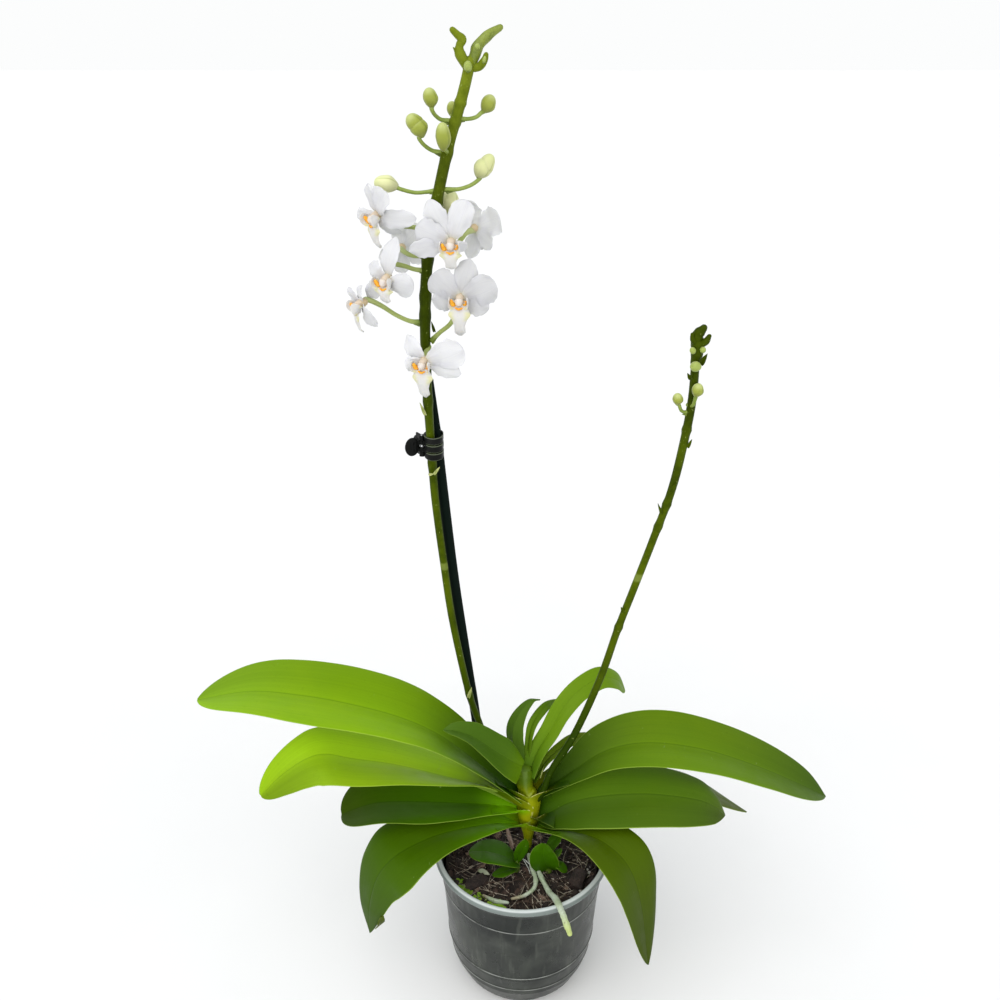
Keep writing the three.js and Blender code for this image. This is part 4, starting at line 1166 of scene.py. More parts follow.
LEAVES = {
    "leaf_1": dict(
        midrib=[(-3, -0.5, 151), (-28, -2, 179), (-54, -3, 204), (-79, -4, 219), (-110, -6, 231),
                (-140, -8, 239), (-171, -9, 243), (-204, -11, 238)],
        half=28.9, base=0.33, widest=0.55, blunt=0.64, round=2.7, roll=(-7, -13), fold=(30, 19)),
    "leaf_2": dict(
        midrib=[(-3, -1.5, 146.5), (-28, -6, 165), (-51, -11, 177), (-83, -17, 192), (-108, -22, 201),
                (-125, -25, 207), (-137, -28, 205), (-151, -30, 195), (-165, -33, 181)],
        half=24.8, base=(0.1, 0.6), widest=0.44, blunt=0.52, round=1.5, roll=(27, -41), fold=(30, 5)),
    "leaf_3": dict(
        midrib=[(-4, -1, 141), (-22, -3, 146), (-42, -5, 149), (-64, -7, 152), (-96, -11, 155),
                (-120, -13, 147)],
        half=22.9, base=0.24, widest=0.71, blunt=0.4, round=2.0, roll=(-10, -13), fold=(30, 24)),
    "leaf_4": dict(
        midrib=[(-3, -3, 128), (-20, -10, 136), (-52, -24, 141), (-73, -33, 138), (-86, -39, 132),
                (-95, -42, 119), (-100, -45, 98), (-101, -45, 75)],
        half=25.1, base=0.11, widest=0.53, blunt=0.9, round=1.5, roll=(6, -27), fold=(30, 0)),
    "leaf_5": dict(
        midrib=[(12, 1, 152), (36, 3, 172), (57, 5, 186), (84, 7, 190), (121, 10, 182), (160, 14, 164),
                (191, 16, 147), (212, 18, 134)],
        half=23.5, base=0.16, widest=0.49, blunt=0.74, round=2.5, roll=(28, 17), fold=(30, 25)),
    "leaf_6": dict(
        midrib=[(12, -1, 134), (20, -3, 140), (33, -5, 150), (54, -9, 159), (83, -14, 165), (112, -19, 165),
                (125, -21, 160), (131, -22, 155)],
        half=26.1, base=0.23, widest=0.48, blunt=0.75, round=1.5, roll=(26, 2), fold=(30, 1)),
    "leaf_7": dict(
        midrib=[(9, 6, 130), (39, 12, 139), (67, 16, 146), (96, 20, 146), (126, 26, 134), (164, 34, 105)],
        half=16.5, base=0.25, widest=0.55, blunt=0.95, round=2.1, roll=(-14, 7), fold=(30, 6)),
    "leaf_8": dict(
        midrib=[(10, -4.5, 126), (34, -24, 142), (52, -39, 147), (66, -51, 139), (74, -58, 115),
                (81, -63, 67)],
        half=19.5, base=0.24, widest=0.57, blunt=0.73, round=1.5, roll=(-2, 17), fold=(30, 13)),
    "leaf_9": dict(
        midrib=[(-0.5, -4, 180), (-8.5, -7, 187.5), (-17.6, -9, 195.9), (-32, -12, 210), (-43, -14, 216.5),
                (-51, -14, 217.5)],
        half=12, base=(1.0, 0.35), widest=0.38, blunt=0.85, round=1.7, roll=(-50, -18), fold=(4, 34)),
    "leaf_10": dict(
        midrib=[(0, 5, 172), (-5.6, 9, 188), (-5.6, 12, 199), (-1, 16, 208.6), (6, 20.5, 214.2),
                (12, 24, 212.4)],
        half=7.2, base=0.85, widest=0.3, blunt=1.1, round=1.3, roll=(0, 0), fold=(40, 15), side=(1, -0.5, 0)),
    "leaf_11": dict(
        midrib=[(3, 6, 171), (4.4, 9, 192), (7.6, 14, 202), (16, 24, 207), (25, 35, 204.5)],
        half=3.6, base=0.6, widest=0.6, blunt=0.7, round=2.0, roll=(10, 20), fold=(40, 15)),
    "leaf_12": dict(
        midrib=[(4.4, 2, 168), (9.6, 6, 183), (18, 11, 196), (26, 16, 210), (37, 22, 221), (52, 31, 225),
                (64, 38, 218), (71, 42, 206)],
        half=7.8, base=0.8, widest=0.7, blunt=0.5, round=2.2, roll=(24, 44), fold=(30, 9)),
    "leaf_13": dict(
        midrib=[(8, 6, 158), (16, 11, 171), (26, 18, 176.5), (37, 26, 178), (53, 33, 173.5), (69, 40, 160)],
        half=4.6, base=0.5, widest=0.55, blunt=0.6, round=2.0, roll=(20, 10), fold=(35, 10)),
}

# The withered flap on the front edge of leaf_4.
LEAF_4_FOLD = dict(
    midrib=[(-91.2, -53, 99.5), (-92.8, -52.3, 92.5), (-97.0, -49.0, 83)], side=(0.75, 0.25, 0.6),
    half=2.9, base=0.5, widest=0.45, blunt=0.8, round=1.8, roll=(0, 0), fold=(35, 20),
)

# Each leaf's tones: the body of the blade, near the stem, at the tip and underneath. They hold painted light
# and shade:
# bright ones of leaf_3 and leaf_4 are painted light, and the bodies differ from leaf to leaf partly by
# painted light.
# the dark tones near the stem of leaf_1, leaf_2, leaf_5 and leaf_6 are painted shade of the leaves above, the
LEAF_TONES = {
    "leaf_1": ((0.169, 0.314, 0.003), (0.012, 0.053, 0.0), (0.18, 0.328, 0.011), (0.17, 0.27, 0.03)),
    "leaf_2": ((0.286, 0.48, 0.01), (0.061, 0.117, 0.0), (0.186, 0.319, 0.004), (0.17, 0.27, 0.03)),
    "leaf_3": ((0.037, 0.105, 0.0), (0.176, 0.439, 0.001), (0.032, 0.065, 0.001), (0.055, 0.09, 0.01)),
    "leaf_4": ((0.04, 0.095, 0.0), (0.113, 0.305, 0.001), (0.029, 0.064, 0.001), (0.06, 0.1, 0.01)),
    "leaf_5": ((0.094, 0.178, 0.003), (0.011, 0.036, 0.0), (0.044, 0.091, 0.006), (0.115, 0.17, 0.02)),
    "leaf_6": ((0.066, 0.137, 0.005), (0.015, 0.049, 0.0), (0.057, 0.095, 0.012), (0.076, 0.114, 0.015)),
    "leaf_7": ((0.068, 0.114, 0.008), (0.038, 0.076, 0.002), (0.075, 0.106, 0.02), (0.1, 0.13, 0.03)),
    "leaf_8": ((0.047, 0.084, 0.0), (0.067, 0.173, 0.0), (0.035, 0.057, 0.001), (0.076, 0.114, 0.012)),
    "leaf_9": ((0.046, 0.105, 0.005), (0.076, 0.152, 0.002), (0.048, 0.105, 0.009), (0.075, 0.15, 0.002)),
    "leaf_10": ((0.041, 0.09, 0.001), (0.04, 0.097, 0.002), (0.034, 0.074, 0.001), (0.046, 0.098, 0.006)),
    "leaf_11": ((0.065, 0.13, 0.003), (0.053, 0.106, 0.003), (0.065, 0.13, 0.003), (0.06, 0.114, 0.006)),
    "leaf_12": ((0.11, 0.205, 0.005), (0.054, 0.117, 0.005), (0.11, 0.205, 0.005), (0.076, 0.145, 0.006)),
    "leaf_13": ((0.085, 0.14, 0.003), (0.054, 0.108, 0.002), (0.108, 0.162, 0.004), (0.068, 0.114, 0.01)),
    "leaf_4_fold": ((0.05, 0.07, 0.002), (0.06, 0.09, 0.002), (0.13, 0.12, 0.03), (0.05, 0.06, 0.005)),
    "offset": ((0.032, 0.105, 0.0), (0.028, 0.09, 0.0), (0.036, 0.11, 0.0), (0.05, 0.12, 0.003)),
    "moss_green": ((0.16, 0.3, 0.02), (0.1, 0.2, 0.01), (0.26, 0.4, 0.05), (0.12, 0.2, 0.04)),
    "dry_leaflet": ((0.4, 0.44, 0.33), (0.3, 0.3, 0.2), (0.5, 0.52, 0.4), (0.4, 0.42, 0.3)),
}

# How far the tone near the stem reaches along a blade, and how much lighter one half is than the other:
# painted shade near the stem and painted light on one half.
LEAF_SHADING = {
    "leaf_1": dict(reach=0.55, halves=0.17),
    "leaf_2": dict(reach=0.25, halves=-0.27),
    "leaf_5": dict(reach=0.5, halves=-0.15),
    "leaf_6": dict(reach=0.45, halves=0.22),
}

# How far the foot of each large leaf lies outside the stem it clasps, topmost leaf first.
CLASPS = {
    "leaf_5": 1.0, "leaf_1": 1.0, "leaf_2": 1.3, "leaf_3": 1.7, "leaf_6": 1.4, "leaf_7": 1.7, "leaf_4": 2.0,
    "leaf_8": 2.0,
}


# The trough of a clasp at three places, from its foot to the blade: how far its keel is pushed out, how far
# its edges stand from the stem's middle, and the heights of keel and edges over the blade's foot.
CLASP_POSTS = ((0.0, -0.3, -20.0, -14.0), (0.0, -1.5, -8.0, -3.0), (2.0, 2.0, 0.5, 5.0))


def clasp_line(spec, path, join, cover, s):
    """The run of a clasp from its foot to the blade, at s from -1 at one edge to 1 at the other."""
    out = level_heading(path.points[0], path.at(join))
    axis = Vector((STEM_X, STEM_Y, path.points[0].z))
    turn = s * math.pi / 2
    posts = []
    for extra, edge_out, keel_up, edge_up in CLASP_POSTS:
        girth = stem_girth(axis.z + keel_up)
        reach = girth + cover * min(girth / 4, 1.0)
        outward = lerp(reach + extra, edge_out, 1 - math.cos(turn))
        rise = keel_up + (edge_up - keel_up) * s * s
        beside = UP.cross(out) * ((reach + 0.2) * math.sin(turn))
        posts.append(axis + out * outward + beside + UP * rise)
    centre, side, normal, fold = blade_axes(spec, path, join)
    half = half_width(spec, join, s > 0)
    posts.append(centre + side * (s * half * math.cos(fold)) + normal * (half * abs(s) * math.sin(fold)))
    return Path(posts)


def add_clasp(shape, spec, cover, thickness):
    """The foot of a leaf: a trough that wraps the stem and opens into the blade."""
    path = Path(spec["midrib"])
    join = 24.0 / path.length()
    along, wide = 14, 16
    lines = [clasp_line(spec, path, join, cover, 2 * j / wide - 1) for j in range(wide + 1)]
    spots = [[line.at(i / along) for i in range(along + 1)] for line in lines]
    rings = []
    for i in range(along + 1):
        top, under = [], []
        for j in range(wide + 1):
            s = 2 * j / wide - 1
            ahead, behind = spots[j][min(i + 1, along)], spots[j][max(i - 1, 0)]
            left, right = spots[max(j - 1, 0)][i], spots[min(j + 1, wide)][i]
            normal = (ahead - behind).cross(right - left).normalized()
            body = thickness / 2 * math.sqrt(max(1 - s**4, 0.0)) * lerp(1.0, 0.15, (i / along) ** 3)
            place = (0.5 + s / 2, lerp(-1.0, join, i / along))
            if j in (0, wide):
                top.append(shape.point(spots[j][i], place, 0.5))
                continue
            top.append(shape.point(spots[j][i] + normal * body, place))
            under.append(shape.point(spots[j][i] - normal * body, place))
        rings.append(top + under[::-1])
    shape.loft(rings)


class ORCHID_OT_leaves(bpy.types.Operator):
    """Make the leaves of the crown"""

    bl_idname = "orchid.leaves"
    bl_label = "Leaves"

    def execute(self, context):
        settings = context.scene.orchid_leaf
        for index, (name, spec) in enumerate(LEAVES.items()):
            small = spec["half"] < 16
            shape = Shape()
            along, wide, thin, calm = (48, 20, 0.7, 0.5) if small else (72, 28, 1.0, 1.0)
            add_blade(
                shape, spec, settings.thickness / MM * thin, along, wide,
                wave=settings.wave / MM * calm, keel=0.9, ruffle=0.02, seed=4.7 * index,
            )
            if name in CLASPS:
                add_clasp(shape, spec, CLASPS[name], 1.3)
            shading = LEAF_SHADING.get(name, {})
            skin = leaf_material(f"{name}_skin", LEAF_TONES[name], foot=name in CLASPS, **shading)
            make_piece(f"{name}_blade", shape, skin, [name])
        shape = Shape()
        add_blade(shape, LEAF_4_FOLD, 0.9, 16, 8, seed=3.0)
        withered = leaf_material("leaf_4_fold_skin", LEAF_TONES["leaf_4_fold"])
        make_piece("leaf_4_fold", shape, withered)
        return {"FINISHED"}


# ------------------------------------------------------------------ offset plants


OFFSETS = {
    "left": dict(
        foot=(-4, -12),
        leaves=[
            dict(midrib=[(-4, -12, 103.5), (-13, -14, 111.5), (-25, -14, 115.5), (-36, -14, 115)], half=14,
                 base=0.5, widest=0.44, roll=(8, 8)),
            dict(midrib=[(-4, -13, 100), (-10, -18, 102.5), (-20, -21, 101)], half=5, roll=(5, 5)),
            dict(midrib=[(-3.5, -12.5, 104), (-2.1, -13, 111.4), (0.5, -14, 119.6), (2.4, -14, 126.5)],
                 half=4.4, side=(-1, 0, 0)),
        ]),
    "right": dict(
        foot=(18, -12),
        leaves=[
            dict(midrib=[(18, -14.5, 101), (15.5, -17, 108), (13.5, -18, 117), (13.9, -17, 126)], half=10,
                 base=0.75, widest=0.36, blunt=0.6, side=(-1, 0, 0)),
            dict(midrib=[(19.5, -12, 103), (23, -13, 111), (27, -13, 116)], half=4.5),
            dict(midrib=[(20.5, -12.5, 102), (24, -15, 105), (27.5, -17, 104), (30, -18, 101)], half=4),
            dict(midrib=[(18.3, -10.5, 104), (20, -6, 112), (24, -3, 117), (28, -2, 119)], half=4.5),
        ]),
}
OFFSET_LEAF = dict(base=0.3, widest=0.5, blunt=0.55, round=2.0, roll=(0, 0), fold=(25, 8))


class ORCHID_OT_offsets(bpy.types.Operator):
    """Make the two offset plants at the foot of the stem"""

    bl_idname = "orchid.offsets"
    bl_label = "Offset plants"

    def execute(self, context):
        skin = leaf_material("offset_skin", LEAF_TONES["offset"], rib=0.35)
        stem = natural("offset_stem_skin")
        for side, offset in OFFSETS.items():
            x, y = offset["foot"]
            shape = Shape()
            add_tube(shape, [(x, y, BED_TOP - 1), (x, y, 101), (x, y, 105)], [2.8, 2.9, 1.8], 14, 10)
            make_piece(f"offset_{side}_stub", shape, stem, [f"offset_{side}_stem"])
            for index, leaf in enumerate(offset["leaves"]):
                shape = Shape()
                add_blade(shape, {**OFFSET_LEAF, **leaf}, 1.2, 36, 16, wave=0.4, keel=0.4, seed=2.3 * index)
                node = f"offset_{side}_leaf_{index + 1}"
                make_piece(f"{node}_blade", shape, skin, [node])
        return {"FINISHED"}


# ------------------------------------------------------------------ spikes and stake


MAIN_SPIKE = dict(
    path=[(0, 5, 128), (-9, 12, 146), (-19.5, 17, 168), (-29, 20, 197), (-36, 20, 223), (-45.2, 20, 277),
          (-50, 20, 321), (-53.8, 20, 362), (-55.3, 19, 400), (-56, 17, 431), (-56, 15, 466), (-54, 14, 499),
          (-49, 13, 528), (-41.5, 12, 559), (-36.2, 11, 576), (-32.2, 10, 589), (-29.4, 10, 600)],
    radii=[2.2, 2.2, 2.2, 2.25, 2.3, 2.3, 2.45, 2.8, 3.0, 3.0, 2.8, 2.75, 2.7],
)
SECOND_SPIKE = dict(
    path=[(8, 0, 146), (13, -4, 157), (19, -4, 177), (33, -3, 205), (48, 0, 246), (57.7, 3, 281),
          (66, 5, 308), (76.3, 8, 341), (85.4, 10, 373), (90.6, 12, 403), (93.2, 13, 427), (93.4, 14, 450)],
    radii=[1.9, 2.1, 2.3, 2.35, 2.3, 2.3, 2.3, 2.5, 2.5, 2.4],
)
STAKE_PATH = [(-16, 29.5, 12), (-22, 29, 97), (-31, 28, 191), (-37, 27.5, 242), (-44, 27, 303),
              (-49, 26.3, 359), (-52, 25.5, 398), (-53.5, 25.5, 435)]
STAKE_RADIUS = 3.2


def add_scale(shape, foot, tip, width, seed=0.0):
    """A small pointed bract that stands off a spike."""
    foot, tip = Vector(foot), Vector(tip)
    bow = (tip - foot).normalized().cross(Vector((0.3, 0.8, 0.1))).normalized()
    spec = dict(
        midrib=[foot, foot.lerp(tip, 0.5) + UP * 0.2, tip], side=bow,
        half=width, base=0.8, widest=0.2, blunt=0.9, round=1.2, roll=(0, 0), fold=(45, 30),
    )
    add_blade(shape, spec, 0.7, 10, 8, seed=seed)


def knuckled(stations, strength=0.16, width=0.006):
    """Slight swellings of a spike at its joints, given as shares of its length."""

    def girth(t, angle):
        return 1 + sum(strength * bell(t - at, width) for at in stations)

    return girth


class ORCHID_OT_spikes(bpy.types.Operator):
    """Make the two flower spikes and the stake"""

    bl_idname = "orchid.spikes"
    bl_label = "Spikes and stake"

    def execute(self, context):
        settings = context.scene.orchid_spike
        skin = self.finish(settings.green, settings.shade)
        self.main_spike(skin)
        self.second_spike(skin)
        self.tip_buds()
        shape = Shape()
        radii = [STAKE_RADIUS] * (len(STAKE_PATH) - 1) + [0.4]
        add_tube(shape, STAKE_PATH, radii, 28, 120)
        dull = {"Specular IOR Level": 0.05}
        rod = moulded_material("stake_black", (0.002, 0.006, 0.004), 0.65, 0.01, dull)
        make_piece("stake_rod", shape, rod, ["stake"])
        return {"FINISHED"}

    def finish(self, green, shade):
        """Spike skin: olive below, deep green among the flowers and fresh green at the tip."""
        wires = Finish("spike_skin")
        made = wires.shared("mottle", light=green, dark=shade, scale=45.0, fleck=0.35)
        height = wires.height()
        deep = wires.blend(1.0, made["Color"], (0.62, 0.64, 0.5), "MULTIPLY")
        tone = wires.blend(wires.step(height, 0.36, 0.45), made["Color"], deep)
        fresh = wires.blend(made["Mask"], (0.16, 0.2, 0.012), (0.08, 0.11, 0.004))
        tone = wires.blend(wires.step(height, 0.52, 0.585), tone, fresh)
        low = wires.blend(made["Mask"], (0.02, 0.04, 0.0), (0.035, 0.06, 0.0))
        tone = wires.blend(wires.step(height, 0.19, 0.29), low, tone)
        east = wires.add("ShaderNodeSeparateXYZ", {0: wires.object_place()}).outputs[0]
        foot = wires.times(wires.step(east, 0.004, 0.012), wires.step(height, 0.19, 0.25, 0.85, 0.0))
        tone = wires.blend(foot, tone, (0.012, 0.03, 0.0))
        joint = wires.step(wires.distance(height, 0.317), 0.0015, 0.0032, 0.55, 0.0)
        tone = wires.blend(joint, tone, (0.2, 0.25, 0.05))
        tone = wires.blend(wires.speckle(700.0, 2.0, 0.68, 0.74, 0.0, 0.5), tone, (0.3, 0.36, 0.1))
        roughness = wires.step(made["Mask"], 0.0, 1.0, 0.42, 0.6)
        more = {"Specular IOR Level": 0.12, "Specular Tint": (0.8, 1.0, 0.3)}
        return wires.done(tone, roughness, made["Mask"], 0.15, more=more)

    def main_spike(self, skin):
        shape = Shape()
        stations = (0.245, 0.475, 0.55, 0.64, 0.66, 0.7, 0.76, 0.81, 0.86, 0.9)
        add_tube(shape, MAIN_SPIKE["path"], MAIN_SPIKE["radii"], 20, 260, knuckled(stations))
        left = [(-31, 10, 597.9), (-34.2, 9, 603.2), (-34.4, 8.5, 606.7), (-33.1, 8, 609.5),
                (-35.2, 7, 611.4), (-37.5, 6, 613.5)]
        right = [(-29.5, 10, 597.9), (-27.1, 11, 602.8), (-25.9, 12, 606.3), (-23.2, 13.5, 609.3),
                 (-19.3, 15.5, 612.4), (-15, 17, 614.8)]
        stub = [(-27.6, 10, 597.1), (-24.7, 9, 597.9), (-22.5, 8.5, 600.6), (-21.7, 8.5, 602.8)]
        add_tube(shape, left, [2.4, 2.7, 1.9, 2.2, 1.8, 1.5], 14, 40)
        add_tube(shape, stub, [2.0, 2.0, 1.3], 12, 14)
        tip = Shape()
        add_tube(tip, right, [2.4, 2.7, 2.7, 2.5, 2.2, 1.6], 16, 40, knuckled((0.35, 0.7), 0.1, 0.08))
        for foot, end in (((-24, 12, 606), (-21.5, 10.5, 610.5)), ((-20.5, 13, 610), (-17.5, 12.5, 613.2))):
            add_scale(tip, foot, end, 1.3)
        make_piece("main_spike_tip", tip, natural("fork_tip_skin"))
        for foot, tip, width in (
            ((-35.5, 8, 604), (-37.6, 7, 606.2), 1.3),
            ((-33.4, 7, 608), (-31.2, 7, 611), 1.2), ((-50.5, 13, 466), (-52.3, 12, 472), 1.3),
        ):
            add_scale(shape, foot, tip, width)
        make_piece("main_spike", shape, skin, ["spike_main"])
        scales = Shape()
        for foot, tip, width in (
            ((-57.3, 16, 417), (-60.4, 14, 425), 1.5), ((-56.7, 16.6, 379.6), (-53, 14, 381), 1.1),
            ((-53.4, 14, 380.8), (-49.9, 13.6, 385.8), 1.2), ((-35.6, 17.6, 219), (-33.4, 16.2, 228.5), 1.6),
            ((11.6, -7, 173), (13.6, -8, 183.6), 0.35),
        ):
            add_scale(scales, foot, tip, width)
        make_piece("spike_scales", scales, natural("dry_scale_skin"))

    def second_spike(self, skin):
        shape = Shape()
        stations = (0.46, 0.66, 0.7, 0.84)
        add_tube(shape, SECOND_SPIKE["path"], SECOND_SPIKE["radii"], 20, 200, knuckled(stations, 0.2))
        crest = knuckled((0.2, 0.45, 0.65, 0.85), 0.14, 0.07)
        top = [(93, 14, 448), (94, 14, 456), (93, 14, 463), (96, 13, 468)]
        add_tube(shape, top, [2.5, 3.4, 3.3, 2.1], 16, 30, crest)
        add_tube(shape, [(94, 13, 458), (97.5, 11.5, 461), (99, 11, 464)], [2.0, 2.1, 1.3], 12, 12)
        add_tube(shape, [(93, 13, 459), (90.4, 11.5, 462), (89.6, 11, 465)], [1.8, 1.6, 1.0], 12, 12)
        for foot, tip, width in (
            ((61, 3, 293), (58.5, 0.5, 299), 1.6), ((80.6, 8, 357.5), (77, 6, 366), 1.3),
            ((84.5, 7.6, 373), (87.6, 6.8, 379), 1.5), ((92.6, 10.6, 399), (94.6, 10, 404.5), 1.4),
            ((96, 12, 448), (98.6, 9, 455), 2.2), ((91, 11, 440), (88.2, 8.5, 444), 1.6),
        ):
            add_scale(shape, foot, tip, width)
        make_piece("second_spike", shape, skin, ["spike_second"])

    def tip_buds(self):
        """The tiny green buds that crowd the ends of both spikes."""
        shape = Shape()
        spots = [
            ((92.5, 8.5, 447.5), (-0.2, -0.3, 1), 3.0, 2.9), ((90.6, 10.4, 456), (-0.4, -0.4, 1), 2.3, 1.6),
            ((96, 10.2, 456.5), (0.3, -0.3, 1), 1.9, 1.6), ((-30.5, 6.9, 597.6), (0, -0.1, 1), 2.7, 1.9),
            ((-26, 9.2, 606.2), (0.3, -0.2, 1), 1.7, 1.3), ((-22.6, 6.8, 600.6), (0.3, 0, 1), 1.8, 0.8),
        ]
        for centre, aim, length, width in spots:
            add_bud(shape, centre, aim, length, width, 0.1)
        make_piece("tip_buds", shape, tissue("tip_bud_skin"))


def make_stalk(name, points, stalk, skins):
    """The stalk of a flower or bud, and the small bract under the place where it leaves the spike."""
    stalk_skin, bract_skin = skins
    shape = Shape()
    add_tube(shape, points, stalk["radii"], stalk["sides"], stalk["steps"])
    make_piece(f"{name}_stalk", shape, stalk_skin)
    end, before = Vector(points[-1]), Vector(points[-2])
    away = (before - end).normalized() * stalk["bract_reach"]
    shape = Shape()
    foot = end + Vector(stalk["bract_foot"])
    add_scale(shape, foot, end + away + Vector(stalk["bract_tip"]), stalk["bract_width"])
    make_piece(f"{name}_bract", shape, bract_skin)


# ------------------------------------------------------------------ flowers


# Each flower's tepals are (angle in its plane, length, half width, forward lift at the tip), starting
# with the upper sepal and the two petals.
# tone scales a flower's white as painted light and shade: lighter on flower_2, flower_6 and flower_8, darker
# on flower_7.
FLOWERS = {
    "flower_1": dict(
        centre=(-78, 8, 528), face=(-0.75, -0.6, -0.25), lip=16,
        tepals=[(89, 17, 5, 2), (-178, 12, 5, 6), (50, 18.5, 6.6, 0), (-60, 13, 4.6, -6), (-8, 20, 5.6, -9)],
        stalk=[(-75, 11, 525.9), (-68.1, 13, 522.6), (-61, 14, 521.4), (-53.7, 14, 520.4)]),
    "flower_2": dict(
        centre=(-69, 33, 507), face=(-0.45, 0.85, -0.1), lip=13, tone=1.2,
        tepals=[(85, 15, 4.6, -2), (145, 17, 7, 0), (-32, 14, 6.4, 0), (-155, 16, 5.2, 0), (-87, 13, 5.2, 0)],
        stalk=[(-68, 27, 507.3), (-63.7, 20, 506.2), (-58.5, 16, 506.1), (-53.6, 14, 507.6)]),
    "flower_3": dict(
        centre=(-74, 2, 497), face=(-0.45, -0.85, -0.2), lip=12,
        tepals=[(76, 21, 5, -6), (144, 12, 5, 0), (-15, 16, 6.8, 0), (-144, 20, 4.8, 0), (-60, 10, 4.4, -5)],
        stalk=[(-72.1, 7, 503.2), (-66.4, 10.5, 502.2), (-60.1, 13, 499.7), (-53.9, 14, 498.8)]),
    "flower_4": dict(
        centre=(-89, 10, 482), face=(-0.9, -0.35, -0.2), lip=15,
        tepals=[(85, 10, 4, -1), (142, 11, 5, 5), (-30, 17, 6, -2), (200, 10, 4, 4), (-100, 12, 4.4, -4)],
        stalk=[(-86.4, 12, 483.9), (-79.2, 13, 480.4), (-71.5, 14.5, 474.9), (-64.1, 15, 471.4),
               (-58.1, 15, 470.9)]),
    "flower_5": dict(
        centre=(-40, 0, 516), face=(-0.1, -0.97, -0.2), lip=13,
        tepals=[(118, 23.5, 6, -2), (159, 19.5, 8, 0), (68, 22, 6.6, -4), (192, 22.5, 5.4, 2),
                (-40, 9, 4.4, -5)],
        stalk=[(-41.4, 6, 514.6), (-43.7, 9, 512.6), (-46.5, 12, 511.5), (-49.7, 13.5, 511.8)]),
    "flower_6": dict(
        centre=(-28, 24, 519), face=(0.55, 0.8, 0.1), lip=12, tone=1.2,
        tepals=[(81, 15, 5.6, 0), (157, 18.5, 7.6, 0), (27, 17, 8, 0), (-139, 14, 5.6, 0), (-72, 17, 5, 0)],
        stalk=[(-33, 19, 517.6), (-37.2, 16, 512.9), (-42.4, 14, 510.7), (-47.6, 13.8, 511.2)]),
    "flower_7": dict(
        centre=(-36, 1, 487), face=(-0.12, -0.97, -0.15), lip=19.5, tone=0.85,
        tepals=[(75, 21, 6.4, -2), (138, 19, 8, 0), (22, 20.8, 8.3, 0), (185, 15, 6.4, 2), (-19, 16.2, 6, 2)],
        stalk=[(-38.5, 7, 477.8), (-42, 10, 471), (-47.8, 13, 465.6), (-52.4, 15, 460.8)]),
    "flower_8": dict(
        centre=(-56, 0, 453), face=(-0.3, -0.93, -0.2), lip=20, tone=1.08,
        tepals=[(127, 16.5, 5.2, -2), (185, 9, 5, 6), (22, 25, 8.4, 0), (212, 9, 4, -6), (-14, 21.5, 5.6, 1)],
        stalk=[(-56.4, 6, 453.3), (-56, 9, 454.6), (-55.2, 13, 455.7), (-54.2, 15, 456.9)]),
}
PETAL = dict(base=0.2, widest=0.62, blunt=0.5, round=2.3, roll=(0, 0), fold=(10, 2), curl=0.14)
SEPAL = dict(base=0.28, widest=0.5, blunt=0.62, round=2.0, roll=(0, 0), fold=(14, 6), curl=0.16)
FLOWER_STALK = dict(
    radii=[1.8, 1.5, 1.25, 1.2, 1.5], sides=12, steps=40,
    bract_foot=(0, -0.6, -1.4), bract_tip=(0, -0.6, -1.5), bract_reach=4.2, bract_width=1.4,
)


def flower_frame(flower):
    """The turn and shift from a flower's own frame (x right, y up, z out of its face) to the part's frame."""
    out = Vector(flower["face"]).normalized()
    up = across(UP, out)
    frame_matrix = Matrix((up.cross(out), up, out)).transposed().to_4x4()
    frame_matrix.translation = Vector(flower["centre"])
    return frame_matrix


def moved(shape, matrix):
    """The same shape, turned and shifted by a matrix."""
    shape.points = [matrix @ p for p in shape.points]
    return shape


def tepal_spec(angle, length, half, lift, kind):
    """A petal or sepal that stands out from the flower's middle at an angle."""
    turn = math.radians(angle)
    x, y = math.cos(turn), math.sin(turn)
    midrib = []
    for t in (0.06, 0.3, 0.55, 0.8, 1.0):
        cup = 2.2 * math.sin(math.pi * t) + lift * t * t - 1
        midrib.append((x * length * t, y * length * t, cup))
    return dict(kind, midrib=midrib, half=half, side=(-y, x, 0))


def petals_shape(flower, thickness, seed):
    """All five petals and sepals, the sepals behind the petals."""
    shape = Shape()
    for index, tepal in enumerate(flower["tepals"]):
        kind = PETAL if index in (1, 2) else SEPAL
        spec = tepal_spec(*tepal, kind)
        layer = -0.45 if kind is SEPAL else 0.2
        spec["midrib"] = [(x, y, z + layer) for x, y, z in spec["midrib"]]
        add_blade(shape, spec, thickness, 26, 16, wave=1.3, waves=3.4, crease=0.3, keel=0.25, ruffle=0.16,
                  seed=seed + 3.7 * index)
    return shape


